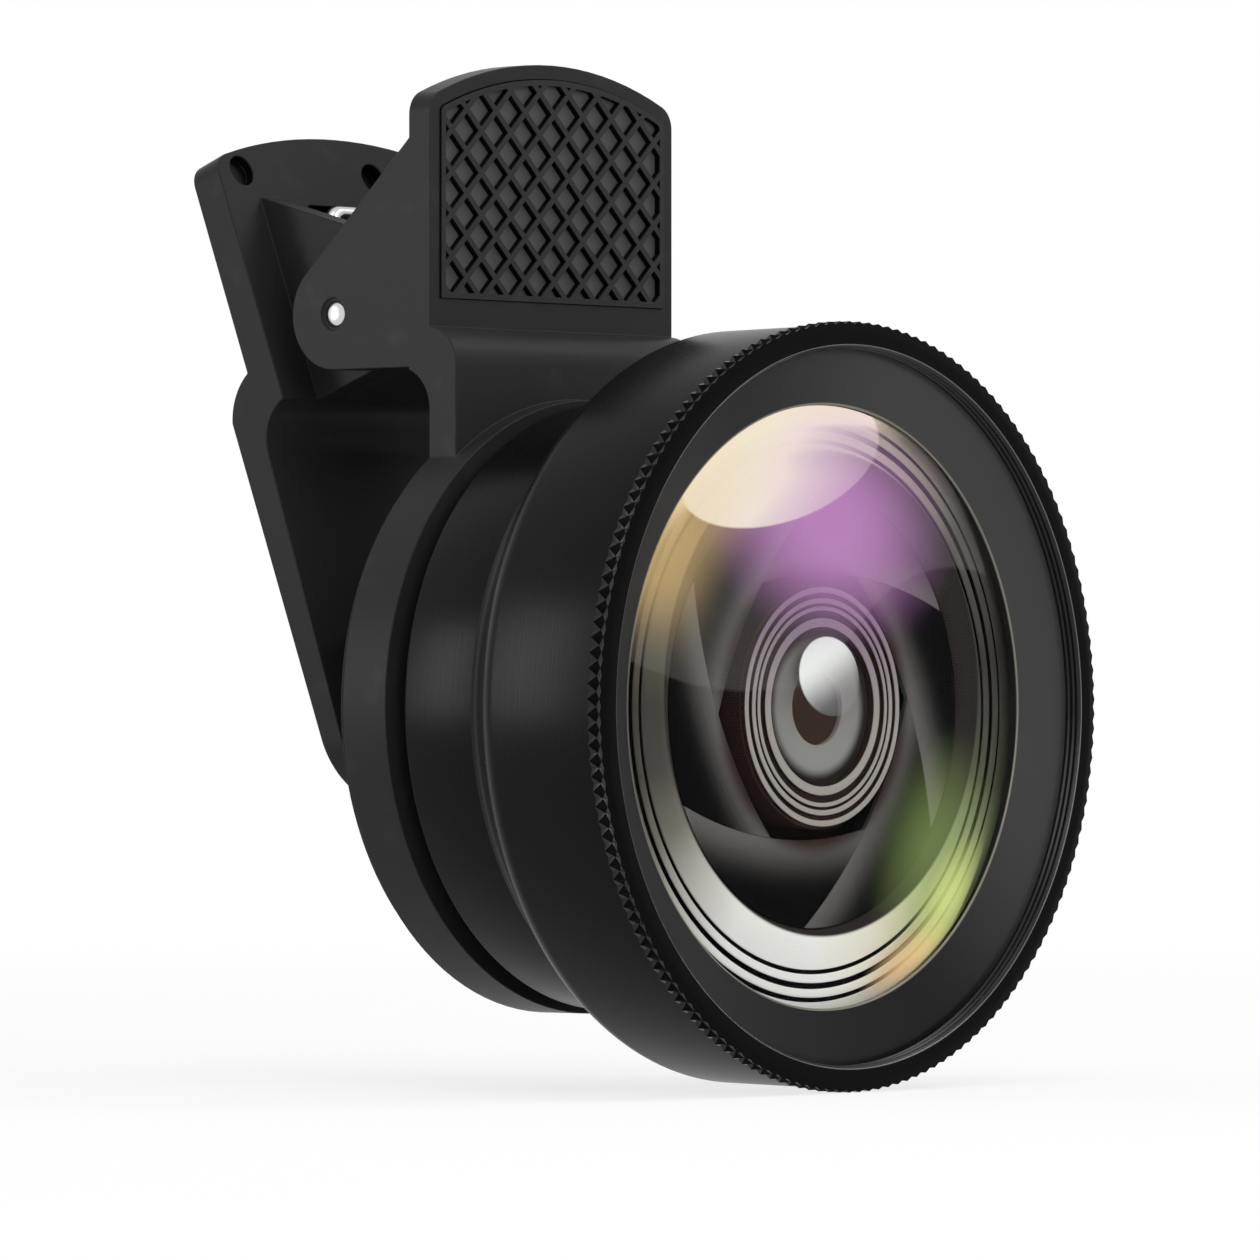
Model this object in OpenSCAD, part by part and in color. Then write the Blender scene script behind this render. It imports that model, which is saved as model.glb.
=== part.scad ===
// Clip-on lens for a phone: a wide-angle lens screwed on a macro lens, screwed into a sprung clip.
// Millimetres. The lens axis lies along Y and the lens looks towards -Y. The origin is on the
// lens axis, in the plane where the front jaw's pad meets the phone. The pivot lies along X.
// A depth is measured along the lens axis, backwards from the front face of the knurled ring.

/* [Clip ring and front jaw] */
// Width of both arms of the clip
clip_w = 25.2; // [22:0.1:30]
// Thread that joins the two lenses and the clip, across its crests
joint_thread_d = 37; // [35:0.5:39]
// Wall of the clip ring outside its thread
clip_ring_wall = 2.7; // [2:0.1:4]
// Length of the clip ring along the lens axis
clip_ring_l = 3.9; // [3.6:0.1:6]
// Thickness of the front jaw plate
jaw_plate_t = 2.5; // [2:0.1:3.4]
// Depth of the thread in the clip ring
clip_thread_l = 2.6; // [2.5:0.05:3]
// How far the lip behind the clip ring's thread reaches in
window_lip = 1.5; // [1.5:0.1:3]
// Thickness of the soft pad on the front jaw
jaw_pad_t = 0.8; // [0.5:0.1:1.5]
// How far that pad stays inside the clip ring's edge
jaw_pad_inset = 0.6; // [0.2:0.1:1.5]

/* [Front handle] */
// Height of the handle's top above the clip ring
handle_rise = 23.3; // [20:0.1:28]
// Thickness of the handle plate
handle_t = 2; // [1.6:0.1:3]
// How far the handle's rear face lies behind the jaw plate's rear face
handle_setback = 1.9; // [1.5:0.1:2.4]
// Radius of the arched top edge
handle_arc_r = 30; // [20:1:60]
// Radius of both handles' top corners
handle_corner_r = 1.7; // [0.8:0.1:3]
// Radius of the shoulder between the handle and the jaw plate
shoulder_r = 2.6; // [1:0.1:3]
// Height of the shoulder's centre above the clip ring
shoulder_rise = 2.2; // [1.5:0.1:3]
// Radius of the arch under the cheeks
arch_r = 2.9; // [1:0.1:4]
// Thickness of each cheek that carries the pin
cheek_t = 2.4; // [1.8:0.1:3]
// Radius of the cheek round the pin
cheek_r = 3.85; // [3:0.05:4.5]
// Height of the cheek's top end above the clip ring
cheek_rise = 17.8; // [14:0.1:20]

/* [Thumb grips] */
// Border between the grip and the edge of the handle
grip_border = 1.05; // [0.8:0.05:2]
// Height of the grip's lower edge above the clip ring
grip_rise = 6.8; // [6:0.1:9]
// Thickness of the grip, from its seat to the top of the ribs
grip_t = 1.1; // [0.9:0.05:1.5]
// How far the ribs stand out of the handle
grip_proud = 0.15; // [0.05:0.05:0.4]
// Depth of the diamond pockets
pocket_depth = 0.55; // [0.3:0.05:0.7]
// Width of one diamond
diamond_w = 3; // [2:0.1:5]
// Height of one diamond
diamond_h = 2.9; // [2:0.1:5]
// Width of the ribs between the diamonds
rib_w = 0.4; // [0.3:0.05:1]
// Radius of the grips' top corners
grip_corner_r = 0.5; // [0.2:0.05:1]

/* [Pivot and spring] */
// Diameter of the pivot pin
pin_d = 1.8; // [1.4:0.1:2.2]
// Distance of the pin behind the phone plane
pin_y = 8.2; // [7.5:0.1:10]
// Height of the pin above the clip ring
pin_rise = 5.9; // [5.5:0.1:8]
// Gap all round the pin in the rear arm's ears
pin_gap = 0.05; // [0.01:0.01:0.1]
// Width and depth of the recess round each end of the pin
pin_recess = 0.22; // [0.1:0.02:0.4]
// Diameter of the spring wire
wire_d = 1.1; // [0.8:0.1:1.2]
// Mean radius of the spring coils
coil_r = 2.55; // [2.2:0.05:2.8]
// Distance of the loop's two wires from the middle
loop_x = 3.2; // [2:0.1:4]

/* [Rear arm] */
// Lean of the rear handle from the vertical, in degrees
rear_lean = 21.2; // [15:0.1:28]
// Distance of its inner face from the pin
rear_offset = 6.46; // [5.8:0.05:8]
// Thickness of the rear handle
rear_t = 2.6; // [2:0.1:3]
// Length of the rear handle above the pin, along its face
rear_len = 16.6; // [12:0.1:22]
// Radius of its arched top edge
rear_arc_r = 40; // [25:1:80]
// Lean of the rear jaw from the vertical, in degrees
jaw_lean = 19.4; // [14:0.1:24]
// Inner radius of the knee
knee_r = 3.2; // [2.5:0.1:4]
// Outer radius of the knee
knee_outer_r = 4.25; // [3.8:0.05:5]
// How far the rear jaw reaches below the lens axis
jaw_reach = 6.6; // [3:0.1:10]
// Radius of the rear jaw's corners
jaw_corner_r = 4.3; // [1:0.1:6]
// Thickness of the ears on the pin
ear_t = 2; // [1.5:0.1:2.4]
// Gap between an ear and the cheek beside it
ear_gap = 1.1; // [0.3:0.1:1.5]
// Radius of the ear round the pin
ear_r = 3.8; // [3.2:0.05:4.2]
// Thickness of the soft pad on the rear jaw
rear_pad_t = 4; // [2:0.1:4.5]
// Width of that pad
rear_pad_w = 19; // [10:0.5:22]
// Length of that pad
rear_pad_l = 11; // [6:0.5:14]

/* [Macro lens] */
// Wall of the macro barrel outside its thread
macro_wall = 2.4; // [1.8:0.1:3.5]
// Visible length of the macro barrel
macro_l = 6.8; // [6:0.1:9]
// Gap between the macro barrel and the clip ring
neck_gap = 1.2; // [0.8:0.1:2]
// Length of the male thread behind each barrel
spigot_l = 2.4; // [2:0.1:2.4]
// Wall between the macro lens elements and the thread's radius
macro_glass_wall = 3.5; // [3:0.1:5]

/* [Wide-angle lens] */
// Outer diameter of the knurled ring
rim_d = 52; // [51.6:0.2:56]
// Width of the knurled ring's outer band
rim_w = 1.2; // [1:0.1:2]
// Number of notches round the ring
notch_count = 160; // [120:4:200]
// Depth of the notches
notch_depth = 0.45; // [0.2:0.05:0.6]
// Wall of the knurled ring outside its filter thread
filter_wall = 1.8; // [1.6:0.1:2.2]
// Length of that thread behind its chamfer
filter_thread_l = 1; // [0.6:0.1:2]
// Step from the knurled ring down to the barrel
rim_step = 0.25; // [0.1:0.05:0.5]
// Length of the barrel behind the knurled ring
wide_l = 14.4; // [12.4:0.1:18]
// Length of the barrel's straight part
straight_l = 8.7; // [5:0.1:9]
// Wall of the barrel's rear end outside the joint's thread
wide_rear_wall = 3.1; // [2.5:0.1:4.5]
// Width of the bezel in front of the glass
bezel_w = 3.8; // [3.2:0.1:5]
// Thickness of the front glass
glass_t = 0.9; // [0.6:0.1:1.2]
// Height of the front glass's dome over the bezel's opening
dome_h = 1.45; // [1:0.05:1.45]
// Gap between the leaves and the centre cell
leaf_gap = 0.7; // [0.3:0.1:1.7]
// Radius of each leaf's curved edge, as a share of the stop's radius
leaf_bow = 2.13; // [1.6:0.01:3]
// Thickness of a leaf
leaf_t = 0.3; // [0.2:0.05:0.4]
// Diameter of the centre cell's tube, as a share of the stop's diameter
cell_share = 0.553; // [0.5:0.001:0.6]
// Diameter of the pupil, as a share of the diameter of the disc round it
pupil_share = 0.49; // [0.4:0.002:0.8]
// Wall of the centre cell's flange outside the rear element
flange_wall = 3.4; // [2:0.1:5]

/* [Hidden] */
$fn = 96;
// Number of leaves in the stop, each of them a node
leaf_count = 6;
black_plastic = [0.16, 0.16, 0.17];
black_metal = [0.1, 0.1, 0.11];
grey_metal = [0.48, 0.46, 0.44];
bright_metal = [0.8, 0.78, 0.72];
soft_rubber = [0.2, 0.2, 0.2];
steel = [0.75, 0.76, 0.78];
clear_glass = [0.7, 0.75, 0.8, 0.5];
// Clearance of a thread or of a piece that turns in another
turn_gap = 0.05;
// Clearance of a piece that sits fixed in another
seat_gap = 0.03;
// Length by which a cutting shape runs past what it cuts
cut_over = 1;

// Stations along the lens axis, as depths
barrel_front = rim_w;
joint_depth = rim_w + wide_l;
macro_end = joint_depth + macro_l;
clip_front = macro_end + neck_gap;
clip_rear = clip_front + clip_ring_l;
rim_y = -(clip_rear + jaw_pad_t);

// Radii of the joints between the two lenses and the clip
thread_r = joint_thread_d / 2;
spigot_r = thread_r - turn_gap;
clip_ring_r = thread_r + clip_ring_wall;
window_r = thread_r - window_lip;

// Planes of the front arm, along Y
plate_rear_y = -jaw_pad_t;
plate_front_y = plate_rear_y - jaw_plate_t;
handle_rear_y = plate_rear_y + handle_setback;
handle_front_y = handle_rear_y - handle_t;

// Heights above the lens axis
handle_top_z = clip_ring_r + handle_rise;
shoulder_z = clip_ring_r + shoulder_rise;
cheek_top_z = clip_ring_r + cheek_rise;
pin_z = clip_ring_r + pin_rise;
grip_bottom_z = clip_ring_r + grip_rise;
cheek_bottom_z = pin_z - cheek_r;
arch_z = cheek_bottom_z - arch_r;
half_w = clip_w / 2;

// Rear arm: direction along the handle, and outward normals of the handle and the jaw, in Y and Z
rear_along = [sin(rear_lean), cos(rear_lean)];
rear_normal = [cos(rear_lean), -sin(rear_lean)];
jaw_along = [sin(jaw_lean), cos(jaw_lean)];
jaw_normal = [cos(jaw_lean), -sin(jaw_lean)];
pin_at = [pin_y, pin_z];
// Centre of the knee's inner curve from the pin, and of its outer curve from there
knee_back = 3.1;
knee_drop = 8.5;
knee_outer_shift = [2.3, 1.4];
knee_at = pin_at + [knee_back, -knee_drop];
knee_outer_at = knee_at + knee_outer_shift;
// Ears: their two faces along X, the height of their root, and their foremost corner from the pin
ear_out_x = half_w - cheek_t - ear_gap;
ear_in_x = ear_out_x - ear_t;
ear_top = 12.7;
ear_nose = [-1.6, 5.4];
// Slot in the rear handle behind the spring's loop, and the height of both along the handle
loop_rise = 10.5;
slot_w = 3 * loop_x;
slot_h = wire_d + 0.5;
slot_depth = 0.8;
// Marks left by the mould: distance from the middle and depth, and their size and place
marks = [[-10.2, 0.7], [3.3, 0.9]];
mark_d = 2.2;
mark_drop = 2.9;
// Depth of the grips' seats, and the height and the bevelled ends of the rear jaw's pad
grip_sink = grip_t - grip_proud;
pad_rise = 1.2;
pad_bevel = 1;
// Spring: height of its front legs' ends above the pin, and gap between its coils and the ears
front_leg_rise = 8.6;
coil_gap = 0.15;

// Macro lens: the retaining ring, the front element, the spacer and the rear element, on an inner lip
macro_r = thread_r + macro_wall;
macro_glass_r = thread_r - macro_glass_wall;
macro_lip_w = 1.5;
macro_lip_r = macro_glass_r - macro_lip_w;
thread_relief = 0.3;
macro_bore_front = joint_depth + spigot_l + thread_relief;
macro_spigot_end = macro_end + neck_gap + spigot_l;
lip_t = 1.6;
lip_depth = macro_spigot_end - lip_t;
retainer_t = 1;
retainer_inset = 0.3;
macro_clear_r = macro_lip_r - retainer_inset;
macro_edge_t = 1;
spacer_t = 1.4;
macro_glass_front = macro_bore_front + retainer_t;
spacer_front = macro_glass_front + macro_edge_t;
macro_rear_front = spacer_front + spacer_t;
lens_bulge = 0.5;

// Knurled ring: its band, the trim that keeps the notches inside it, and its spigot in the barrel
rim_r = rim_d / 2;
rim_chamfer = 0.3;
rim_bevel_w = 0.7;
inner_chamfer = 0.2;
notch_trim = 0.03;
filter_r = rim_r - filter_wall;
rim_shoulder_w = 1;
ring_spigot_r = rim_r - rim_shoulder_w;
ring_spigot_l = 3.2;
ring_spigot_end = barrel_front + ring_spigot_l;
// Wide barrel: its outside radius in front, how much of it the straight part loses, and at its rear
barrel_r = rim_r - rim_step;
barrel_taper = 0.15;
wide_rear_r = thread_r + wide_rear_wall;
// Bezel, front glass and the bore of the barrel that the stepped ring sits in
filter_end = inner_chamfer + filter_thread_l;
bezel_sink = 0.1;
bezel_front = filter_end + bezel_sink;
bezel_seat_step = 0.3;
bezel_r = filter_r - bezel_w;
glass_edge_depth = 2.6;
glass_clear = 0.13;
glass_overlap = 0.8;
glass_r = bezel_r + glass_overlap;
seat_wall = 1.2;
seat_r = glass_r + seat_wall;
seat_l = 1.6;
seat_end = ring_spigot_end + seat_l;
seat_ledge_w = 2;
hollow_r = seat_r - seat_ledge_w;
// Stepped ring: inner and outer radius of each bright land, as shares of the glass's radius, and the
// depth of the lands and of the glass's seat
land_shares = [[0.75, 0.84], [0.854, 0.882], [0.901, 0.929]];
lands = glass_r * land_shares;
land_clear = 0.1;
land_front = glass_edge_depth + glass_t + land_clear;
land_groove = 0.5;
glass_seat_w = 1.2;
// Leaves: their depth, the seat that they lie on, and the direction of the first one's centre
leaf_front = land_front + land_clear;
leaf_lip_w = 0.9;
leaf_seat_r = lands[0][0] - leaf_lip_w;
leaf_edge_r = leaf_seat_r * leaf_bow;
leaf_ledge_w = 1.6;
leaf_turn = -87;
// Centre cell: its flange in the barrel, its fine steps, the pupil's disc and the centre lens
spigot_wall = 3.05;
flange_t = 4;
flange_sink = 0.6;
cell_flange_r = spigot_r - spigot_wall;
cell_flange_end = joint_depth + flange_sink;
cell_flange_front = cell_flange_end - flange_t;
cell_lip_w = 1;
hollow_end = cell_flange_front - cell_lip_w;
tube_r = leaf_seat_r * cell_share;
step_shares = [[0.651, 0.723], [0.783, 0.819], [0.843, 0.886], [0.928, 0.976]];
cell_rings = tube_r * step_shares;
cell_front = 2.9;
cell_groove = 0.35;
disc_share = 0.64;
disc_r = tube_r * disc_share;
disc_sink = 0.5;
disc_front = cell_front + disc_sink;
disc_t = 0.4;
disc_ledge_w = 0.6;
centre_edge_t = 0.25;
centre_bulge = 0.7;
// Rear element and the ring that holds it in the cell
rear_glass_r = cell_flange_r - flange_wall;
rear_glass_sink = 0.9;
rear_glass_front = cell_flange_front + rear_glass_sink;
rear_ring_t = 0.9;
rear_ring_w = 1.4;
rear_ring_front = cell_flange_end - rear_ring_t;
rear_bulge = 0.4;

function arc(centre, r, from, to, steps = 16) =
    [for (i = [0:steps]) let (a = from + (to - from) * i / steps) centre + r * [cos(a), sin(a)]];
function mix(a, b, t) = a + (b - a) * t;
function dot(a, b) = a * b;

// A shape turned about the lens axis: points are [radius, depth]
module turned(points) {
    translate([0, rim_y, 0]) rotate([-90, 0, 0]) rotate_extrude() polygon(points);
}

// A plate that faces the front, drawn as seen from there: x to the right and y up
module facing(depth, thickness) {
    translate([0, rim_y + depth + thickness, 0]) rotate([90, 0, 0]) linear_extrude(thickness) children();
}

// A shape drawn in the side view, with x along Y and y along Z, extruded along X
module side(from_x, width) {
    translate([from_x, 0, 0]) rotate([90, 0, 90]) linear_extrude(width) children();
}

// A bar along X through a point of the side view
module across(at, r, from_x, length) {
    translate([from_x, at[0], at[1]]) rotate([0, 90, 0]) cylinder(r = r, h = length);
}

// Outline of a plate with an arched top and rounded top corners, seen from the front
module arched(w, bottom, top, arc_r, corner_r) {
    corner_x = w / 2 - corner_r;
    corner_y = top - arc_r + sqrt(pow(arc_r - corner_r, 2) - pow(corner_x, 2));
    touch_x = corner_x * arc_r / (arc_r - corner_r);
    intersection() {
        translate([0, top - arc_r]) circle(r = arc_r);
        union() {
            translate([-w / 2, bottom]) square([w, corner_y - bottom]);
            translate([-touch_x, bottom]) square([2 * touch_x, top - bottom]);
            for (s = [-1, 1]) translate([s * corner_x, corner_y]) circle(r = corner_r);
        }
    }
}

// Side view of the front arm's plate: handle, shoulder, jaw plate and arch
module plate_side() {
    low_z = thread_r - clip_ring_wall * 2;
    arch_top = arch_z + sqrt(pow(arch_r, 2) - pow(arch_r - handle_setback, 2));
    arch_from = acos((handle_setback - arch_r) / arch_r);
    polygon(concat(
        [[plate_front_y, low_z]],
        arc([plate_front_y + shoulder_r, shoulder_z], shoulder_r, 180,
            acos(max(-1, min(1, (handle_front_y - plate_front_y - shoulder_r) / shoulder_r)))),
        [[handle_front_y, handle_top_z + cut_over], [handle_rear_y, handle_top_z + cut_over],
         [handle_rear_y, arch_top]],
        arc([plate_rear_y + arch_r, arch_z], arch_r, arch_from, 180),
        [[plate_rear_y, low_z]]));
}

// Side view of a cheek: it runs from the handle to the round end on the pin
module cheek_side() {
    corner = [handle_rear_y, cheek_top_z];
    to_corner = corner - pin_at;
    tangent = atan2(to_corner[1], to_corner[0]) - acos(cheek_r / norm(to_corner));
    difference() {
        polygon(concat(
            [[handle_front_y, cheek_bottom_z], [handle_front_y, cheek_top_z], corner],
            arc(pin_at, cheek_r, tangent, -90, 24)));
        translate([plate_rear_y + arch_r, arch_z]) circle(r = arch_r);
    }
}

module grip_outline(border) {
    arched(clip_w - 2 * border, grip_bottom_z, handle_top_z - border, handle_arc_r - border,
           grip_corner_r);
}

module front_arm() color(black_plastic) {
    difference() {
        union() {
            intersection() {
                union() {
                    side(-half_w, clip_w) plate_side();
                    side(-half_w, cheek_t) cheek_side();
                    side(half_w - cheek_t, cheek_t) cheek_side();
                }
                translate([0, pin_y + cheek_r + cut_over, 0]) rotate([90, 0, 0])
                    linear_extrude(pin_y + cheek_r - plate_front_y + 2 * cut_over)
                        arched(clip_w, 0, handle_top_z, handle_arc_r, handle_corner_r);
            }
            turned([[window_r, clip_front], [clip_ring_r, clip_front],
                    [clip_ring_r, clip_rear], [window_r, clip_rear]]);
        }
        turned([[0, clip_front - cut_over], [thread_r, clip_front - cut_over],
                [thread_r, clip_front + clip_thread_l], [window_r, clip_front + clip_thread_l],
                [window_r, clip_rear + cut_over], [0, clip_rear + cut_over]]);
        translate([0, handle_front_y + grip_sink, 0]) rotate([90, 0, 0])
            linear_extrude(grip_t + cut_over) grip_outline(grip_border - seat_gap);
        across(pin_at, pin_d / 2, -half_w - cut_over, clip_w + 2 * cut_over);
        across(pin_at, pin_d / 2 + pin_recess, -half_w - cut_over, cut_over + pin_recess);
        across(pin_at, pin_d / 2 + pin_recess, half_w - pin_recess, cut_over + pin_recess);
    }
}

// Diamond pockets on a lattice whose every second row is shifted by half a diamond
module diamonds(bottom, top) {
    columns = ceil(clip_w / diamond_w);
    rows = ceil((top - bottom) / diamond_h);
    across_w = diamond_w - rib_w * norm([diamond_w, diamond_h]) / diamond_h;
    across_h = across_w * diamond_h / diamond_w;
    for (row = [0:2 * rows], column = [-columns:columns])
        if ((row + column) % 2 == 0)
            translate([column * diamond_w / 2, bottom + row * diamond_h / 2])
                polygon([[across_w / 2, 0], [0, across_h / 2], [-across_w / 2, 0], [0, -across_h / 2]]);
}

module front_thumb_grip() color(soft_rubber) {
    difference() {
        translate([0, handle_front_y + grip_sink, 0])
            rotate([90, 0, 0]) linear_extrude(grip_t) grip_outline(grip_border);
        translate([0, handle_front_y + pocket_depth - grip_proud, 0])
            rotate([90, 0, 0]) linear_extrude(pocket_depth + cut_over) intersection() {
                diamonds(grip_bottom_z, handle_top_z);
                arched(clip_w - 2 * grip_border - 2 * rib_w, grip_bottom_z + rib_w,
                       handle_top_z - grip_border - rib_w, handle_arc_r - grip_border - rib_w,
                       grip_corner_r);
            }
    }
}

module front_jaw_pad() color(soft_rubber) {
    turned([[window_r + turn_gap, clip_rear], [clip_ring_r - jaw_pad_inset, clip_rear],
            [clip_ring_r - jaw_pad_inset, clip_rear + jaw_pad_t],
            [window_r + turn_gap, clip_rear + jaw_pad_t]]);
}

module pivot_pin() color(steel) {
    across(pin_at, pin_d / 2, -half_w + pin_recess / 4, clip_w - pin_recess / 2);
}

// Side view of the rear arm: handle, knee and jaw as one bent strip
module rear_side() {
    face_at = pin_at + rear_offset * rear_normal;
    knee_from = acos((rear_offset - dot(knee_at - pin_at, rear_normal)) / knee_r) - rear_lean;
    outer_from = acos((rear_offset + rear_t - dot(knee_outer_at - pin_at, rear_normal)) / knee_outer_r)
        - rear_lean;
    jaw_in = knee_at + knee_r * jaw_normal;
    jaw_out = knee_outer_at + knee_outer_r * jaw_normal;
    reach_in = (jaw_in[1] + jaw_reach) / cos(jaw_lean);
    reach_out = (jaw_out[1] + jaw_reach) / cos(jaw_lean);
    polygon(concat(
        [face_at + (rear_len + cut_over) * rear_along],
        arc(knee_at, knee_r, knee_from, -jaw_lean),
        [jaw_in - reach_in * jaw_along, jaw_out - reach_out * jaw_along],
        arc(knee_outer_at, knee_outer_r, -jaw_lean, outer_from),
        [face_at + rear_t * rear_normal + (rear_len + cut_over) * rear_along]));
}

// Side view of an ear: round on the pin, and as long as its root on the rear arm
module ear_side() {
    root = pin_at + (rear_offset + rear_t / 2) * rear_normal;
    top = root + ear_top * rear_along;
    nose = pin_at + ear_nose;
    knee_from = acos((rear_offset - dot(knee_at - pin_at, rear_normal)) / knee_r) - rear_lean;
    low = knee_at + knee_r * [cos(knee_from), sin(knee_from)];
    to_low = low - pin_at;
    to_nose = nose - pin_at;
    low_tangent = atan2(to_low[1], to_low[0]) - acos(ear_r / norm(to_low));
    nose_tangent = atan2(to_nose[1], to_nose[0]) + acos(ear_r / norm(to_nose)) - 360;
    polygon(concat([low, low + rear_t / 2 * rear_normal, top, nose],
        arc(pin_at, ear_r, nose_tangent, low_tangent, 24)));
}

module rear_arm() color(black_plastic) {
    difference() {
        union() {
            intersection() {
                side(-half_w, clip_w) rear_side();
                on_rear_handle(-rear_t * 4) rotate([90, 0, 0])
                    linear_extrude(rear_t * 12, center = true)
                        arched(clip_w, -clip_w * 3, rear_len, rear_arc_r, handle_corner_r);
                translate([0, pin_y, 0]) rotate([90, 0, 0])
                    linear_extrude(clip_w * 3, center = true) jaw_outline();
            }
            side(-ear_out_x, ear_t) ear_side();
            side(ear_in_x, ear_t) ear_side();
        }
        across(pin_at, pin_d / 2 + pin_gap, -half_w, clip_w);
        spring_slot();
        mould_marks();
        on_rear_handle(rear_t - grip_sink) rotate([-90, 0, 0]) mirror([0, 1, 0])
            linear_extrude(rear_t) rear_grip_outline(grip_border - seat_gap);
    }
}

// Seen from the front, the rear arm has straight sides and a jaw with rounded corners
module jaw_outline() {
    translate([-half_w, jaw_corner_r - jaw_reach]) square([clip_w, clip_w * 3]);
    translate([jaw_corner_r - half_w, -jaw_reach]) square([clip_w - 2 * jaw_corner_r, clip_w]);
    for (s = [-1, 1])
        translate([s * (half_w - jaw_corner_r), jaw_corner_r - jaw_reach]) circle(r = jaw_corner_r);
}

// Moves a shape so that z = 0 is level with the pin and y = 0 is a distance behind the inner face
module on_rear_handle(behind) {
    at = pin_at + (rear_offset + behind) * rear_normal;
    translate([0, at[0], at[1]]) rotate([-rear_lean, 0, 0]) children();
}

// Slot in the inner face behind the spring's loop
module spring_slot() {
    on_rear_handle(slot_depth) translate([0, 0, loop_rise]) rotate([90, 0, 0])
        linear_extrude(slot_depth + cut_over) {
            square([slot_w - slot_h, slot_h], center = true);
            for (s = [-1, 1]) translate([s * (slot_w - slot_h) / 2, 0]) circle(d = slot_h);
        }
}

// Two round marks near the top of the inner face, left by the mould
module mould_marks() {
    for (mark = marks)
        on_rear_handle(mark[1]) translate([mark[0], 0, rear_len - mark_drop]) rotate([90, 0, 0])
            cylinder(d = mark_d, h = mark[1] + cut_over, $fn = 32);
}

module rear_grip_outline(border) {
    arched(clip_w - 2 * border, 0, rear_len - border, rear_arc_r - border, grip_corner_r);
}

module rear_thumb_grip() color(soft_rubber) {
    difference() {
        on_rear_handle(rear_t - grip_sink) rotate([-90, 0, 0]) mirror([0, 1, 0])
            linear_extrude(grip_t) rear_grip_outline(grip_border);
        on_rear_handle(rear_t + grip_proud - pocket_depth) rotate([-90, 0, 0]) mirror([0, 1, 0])
            linear_extrude(pocket_depth + cut_over) intersection() {
                diamonds(0, rear_len);
                arched(clip_w - 2 * grip_border - 2 * rib_w, rib_w, rear_len - grip_border - rib_w,
                       rear_arc_r - grip_border - rib_w, grip_corner_r);
            }
    }
}

// Soft block glued to the inner face of the rear jaw, near its tip
module rear_jaw_pad() color(soft_rubber) {
    jaw_in = knee_at + knee_r * jaw_normal;
    low = jaw_in - (jaw_in[1] + jaw_reach - pad_rise) / cos(jaw_lean) * jaw_along;
    side(-rear_pad_w / 2, rear_pad_w) polygon([
        low, low + rear_pad_l * jaw_along,
        low + (rear_pad_l - pad_bevel) * jaw_along - rear_pad_t * jaw_normal,
        low + pad_bevel * jaw_along - rear_pad_t * jaw_normal]);
}

// Route of the spring wire: a front leg, a coil, the loop behind, the other coil and its front leg
front_leg_top = [handle_rear_y + wire_d / 2 + turn_gap, pin_z + front_leg_rise];
loop_at = pin_at + (rear_offset - wire_d / 2 - turn_gap) * rear_normal + loop_rise * rear_along;
coil_x = ear_in_x - wire_d / 2 - coil_gap;
function tangent_angle(p, r, s) = let (v = p - pin_at) atan2(v[1], v[0]) + s * acos(r / norm(v));
coil_from = tangent_angle(front_leg_top, coil_r, 1);
coil_to = tangent_angle(loop_at, coil_r, -1) + 3 * 360;
coil_steps = 44;
coil_half = [for (i = [0:coil_steps])
    let (t = i / coil_steps, a = mix(coil_from, coil_to, t))
    [mix(coil_x, loop_x, t), pin_y + coil_r * cos(a), pin_z + coil_r * sin(a)]];
loop_bend = [for (i = [0:4]) let (a = 90 * i / 4, r = wire_d)
    let (p = loop_at - r * (1 - sin(a)) * rear_along) [loop_x - r * (1 - cos(a)), p[0], p[1]]];
wire_half = concat([[coil_x, front_leg_top[0], front_leg_top[1]]], coil_half, loop_bend);
function mirrored(p) = [-p[0], p[1], p[2]];
wire_route = concat(wire_half, [for (i = [len(wire_half) - 1:-1:0]) mirrored(wire_half[i])]);

function unit(v) = v / norm(v);
function direction(route, i) =
    unit(route[min(i + 1, len(route) - 1)] - route[max(i - 1, 0)]);
// Side vectors carried along the route, each turned as little as its stretch allows
function carried(route, i = 0, v = [0, 0, 1]) =
    let (t = direction(route, i), w = unit(v - (v * t) * t))
    i == len(route) - 1 ? [w] : concat([w], carried(route, i + 1, w));

module wire(route, r, sides = 8) {
    side_v = carried(route, 0, [0, 1, 0.2]);
    rings = len(route);
    points = [for (i = [0:rings - 1]) let (t = direction(route, i), u = side_v[i], v = cross(t, u))
        for (k = [0:sides - 1]) let (a = 360 * k / sides) route[i] + r * (cos(a) * u + sin(a) * v)];
    walls = [for (i = [0:rings - 2], k = [0:sides - 1]) let (n = (k + 1) % sides)
        each [[i * sides + k, (i + 1) * sides + k, (i + 1) * sides + n],
              [i * sides + k, (i + 1) * sides + n, i * sides + n]]];
    ends = [[for (k = [0:sides - 1]) k], [for (k = [sides - 1:-1:0]) (rings - 1) * sides + k]];
    polyhedron(points, concat(walls, ends));
}

module torsion_spring() color(steel) wire(wire_route, wire_d / 2);

module macro_barrel() color(black_metal) {
    chamfer = 0.25;
    turned([
        [thread_r, joint_depth + seat_gap], [macro_r - chamfer, joint_depth + seat_gap],
        [macro_r, joint_depth + seat_gap + chamfer], [macro_r, macro_end - chamfer],
        [macro_r - chamfer, macro_end], [spigot_r, macro_end], [spigot_r, macro_spigot_end],
        [macro_lip_r, macro_spigot_end], [macro_lip_r, lip_depth],
        [macro_glass_r + turn_gap, lip_depth], [macro_glass_r + turn_gap, macro_bore_front],
        [thread_r, macro_bore_front]]);
}

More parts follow.
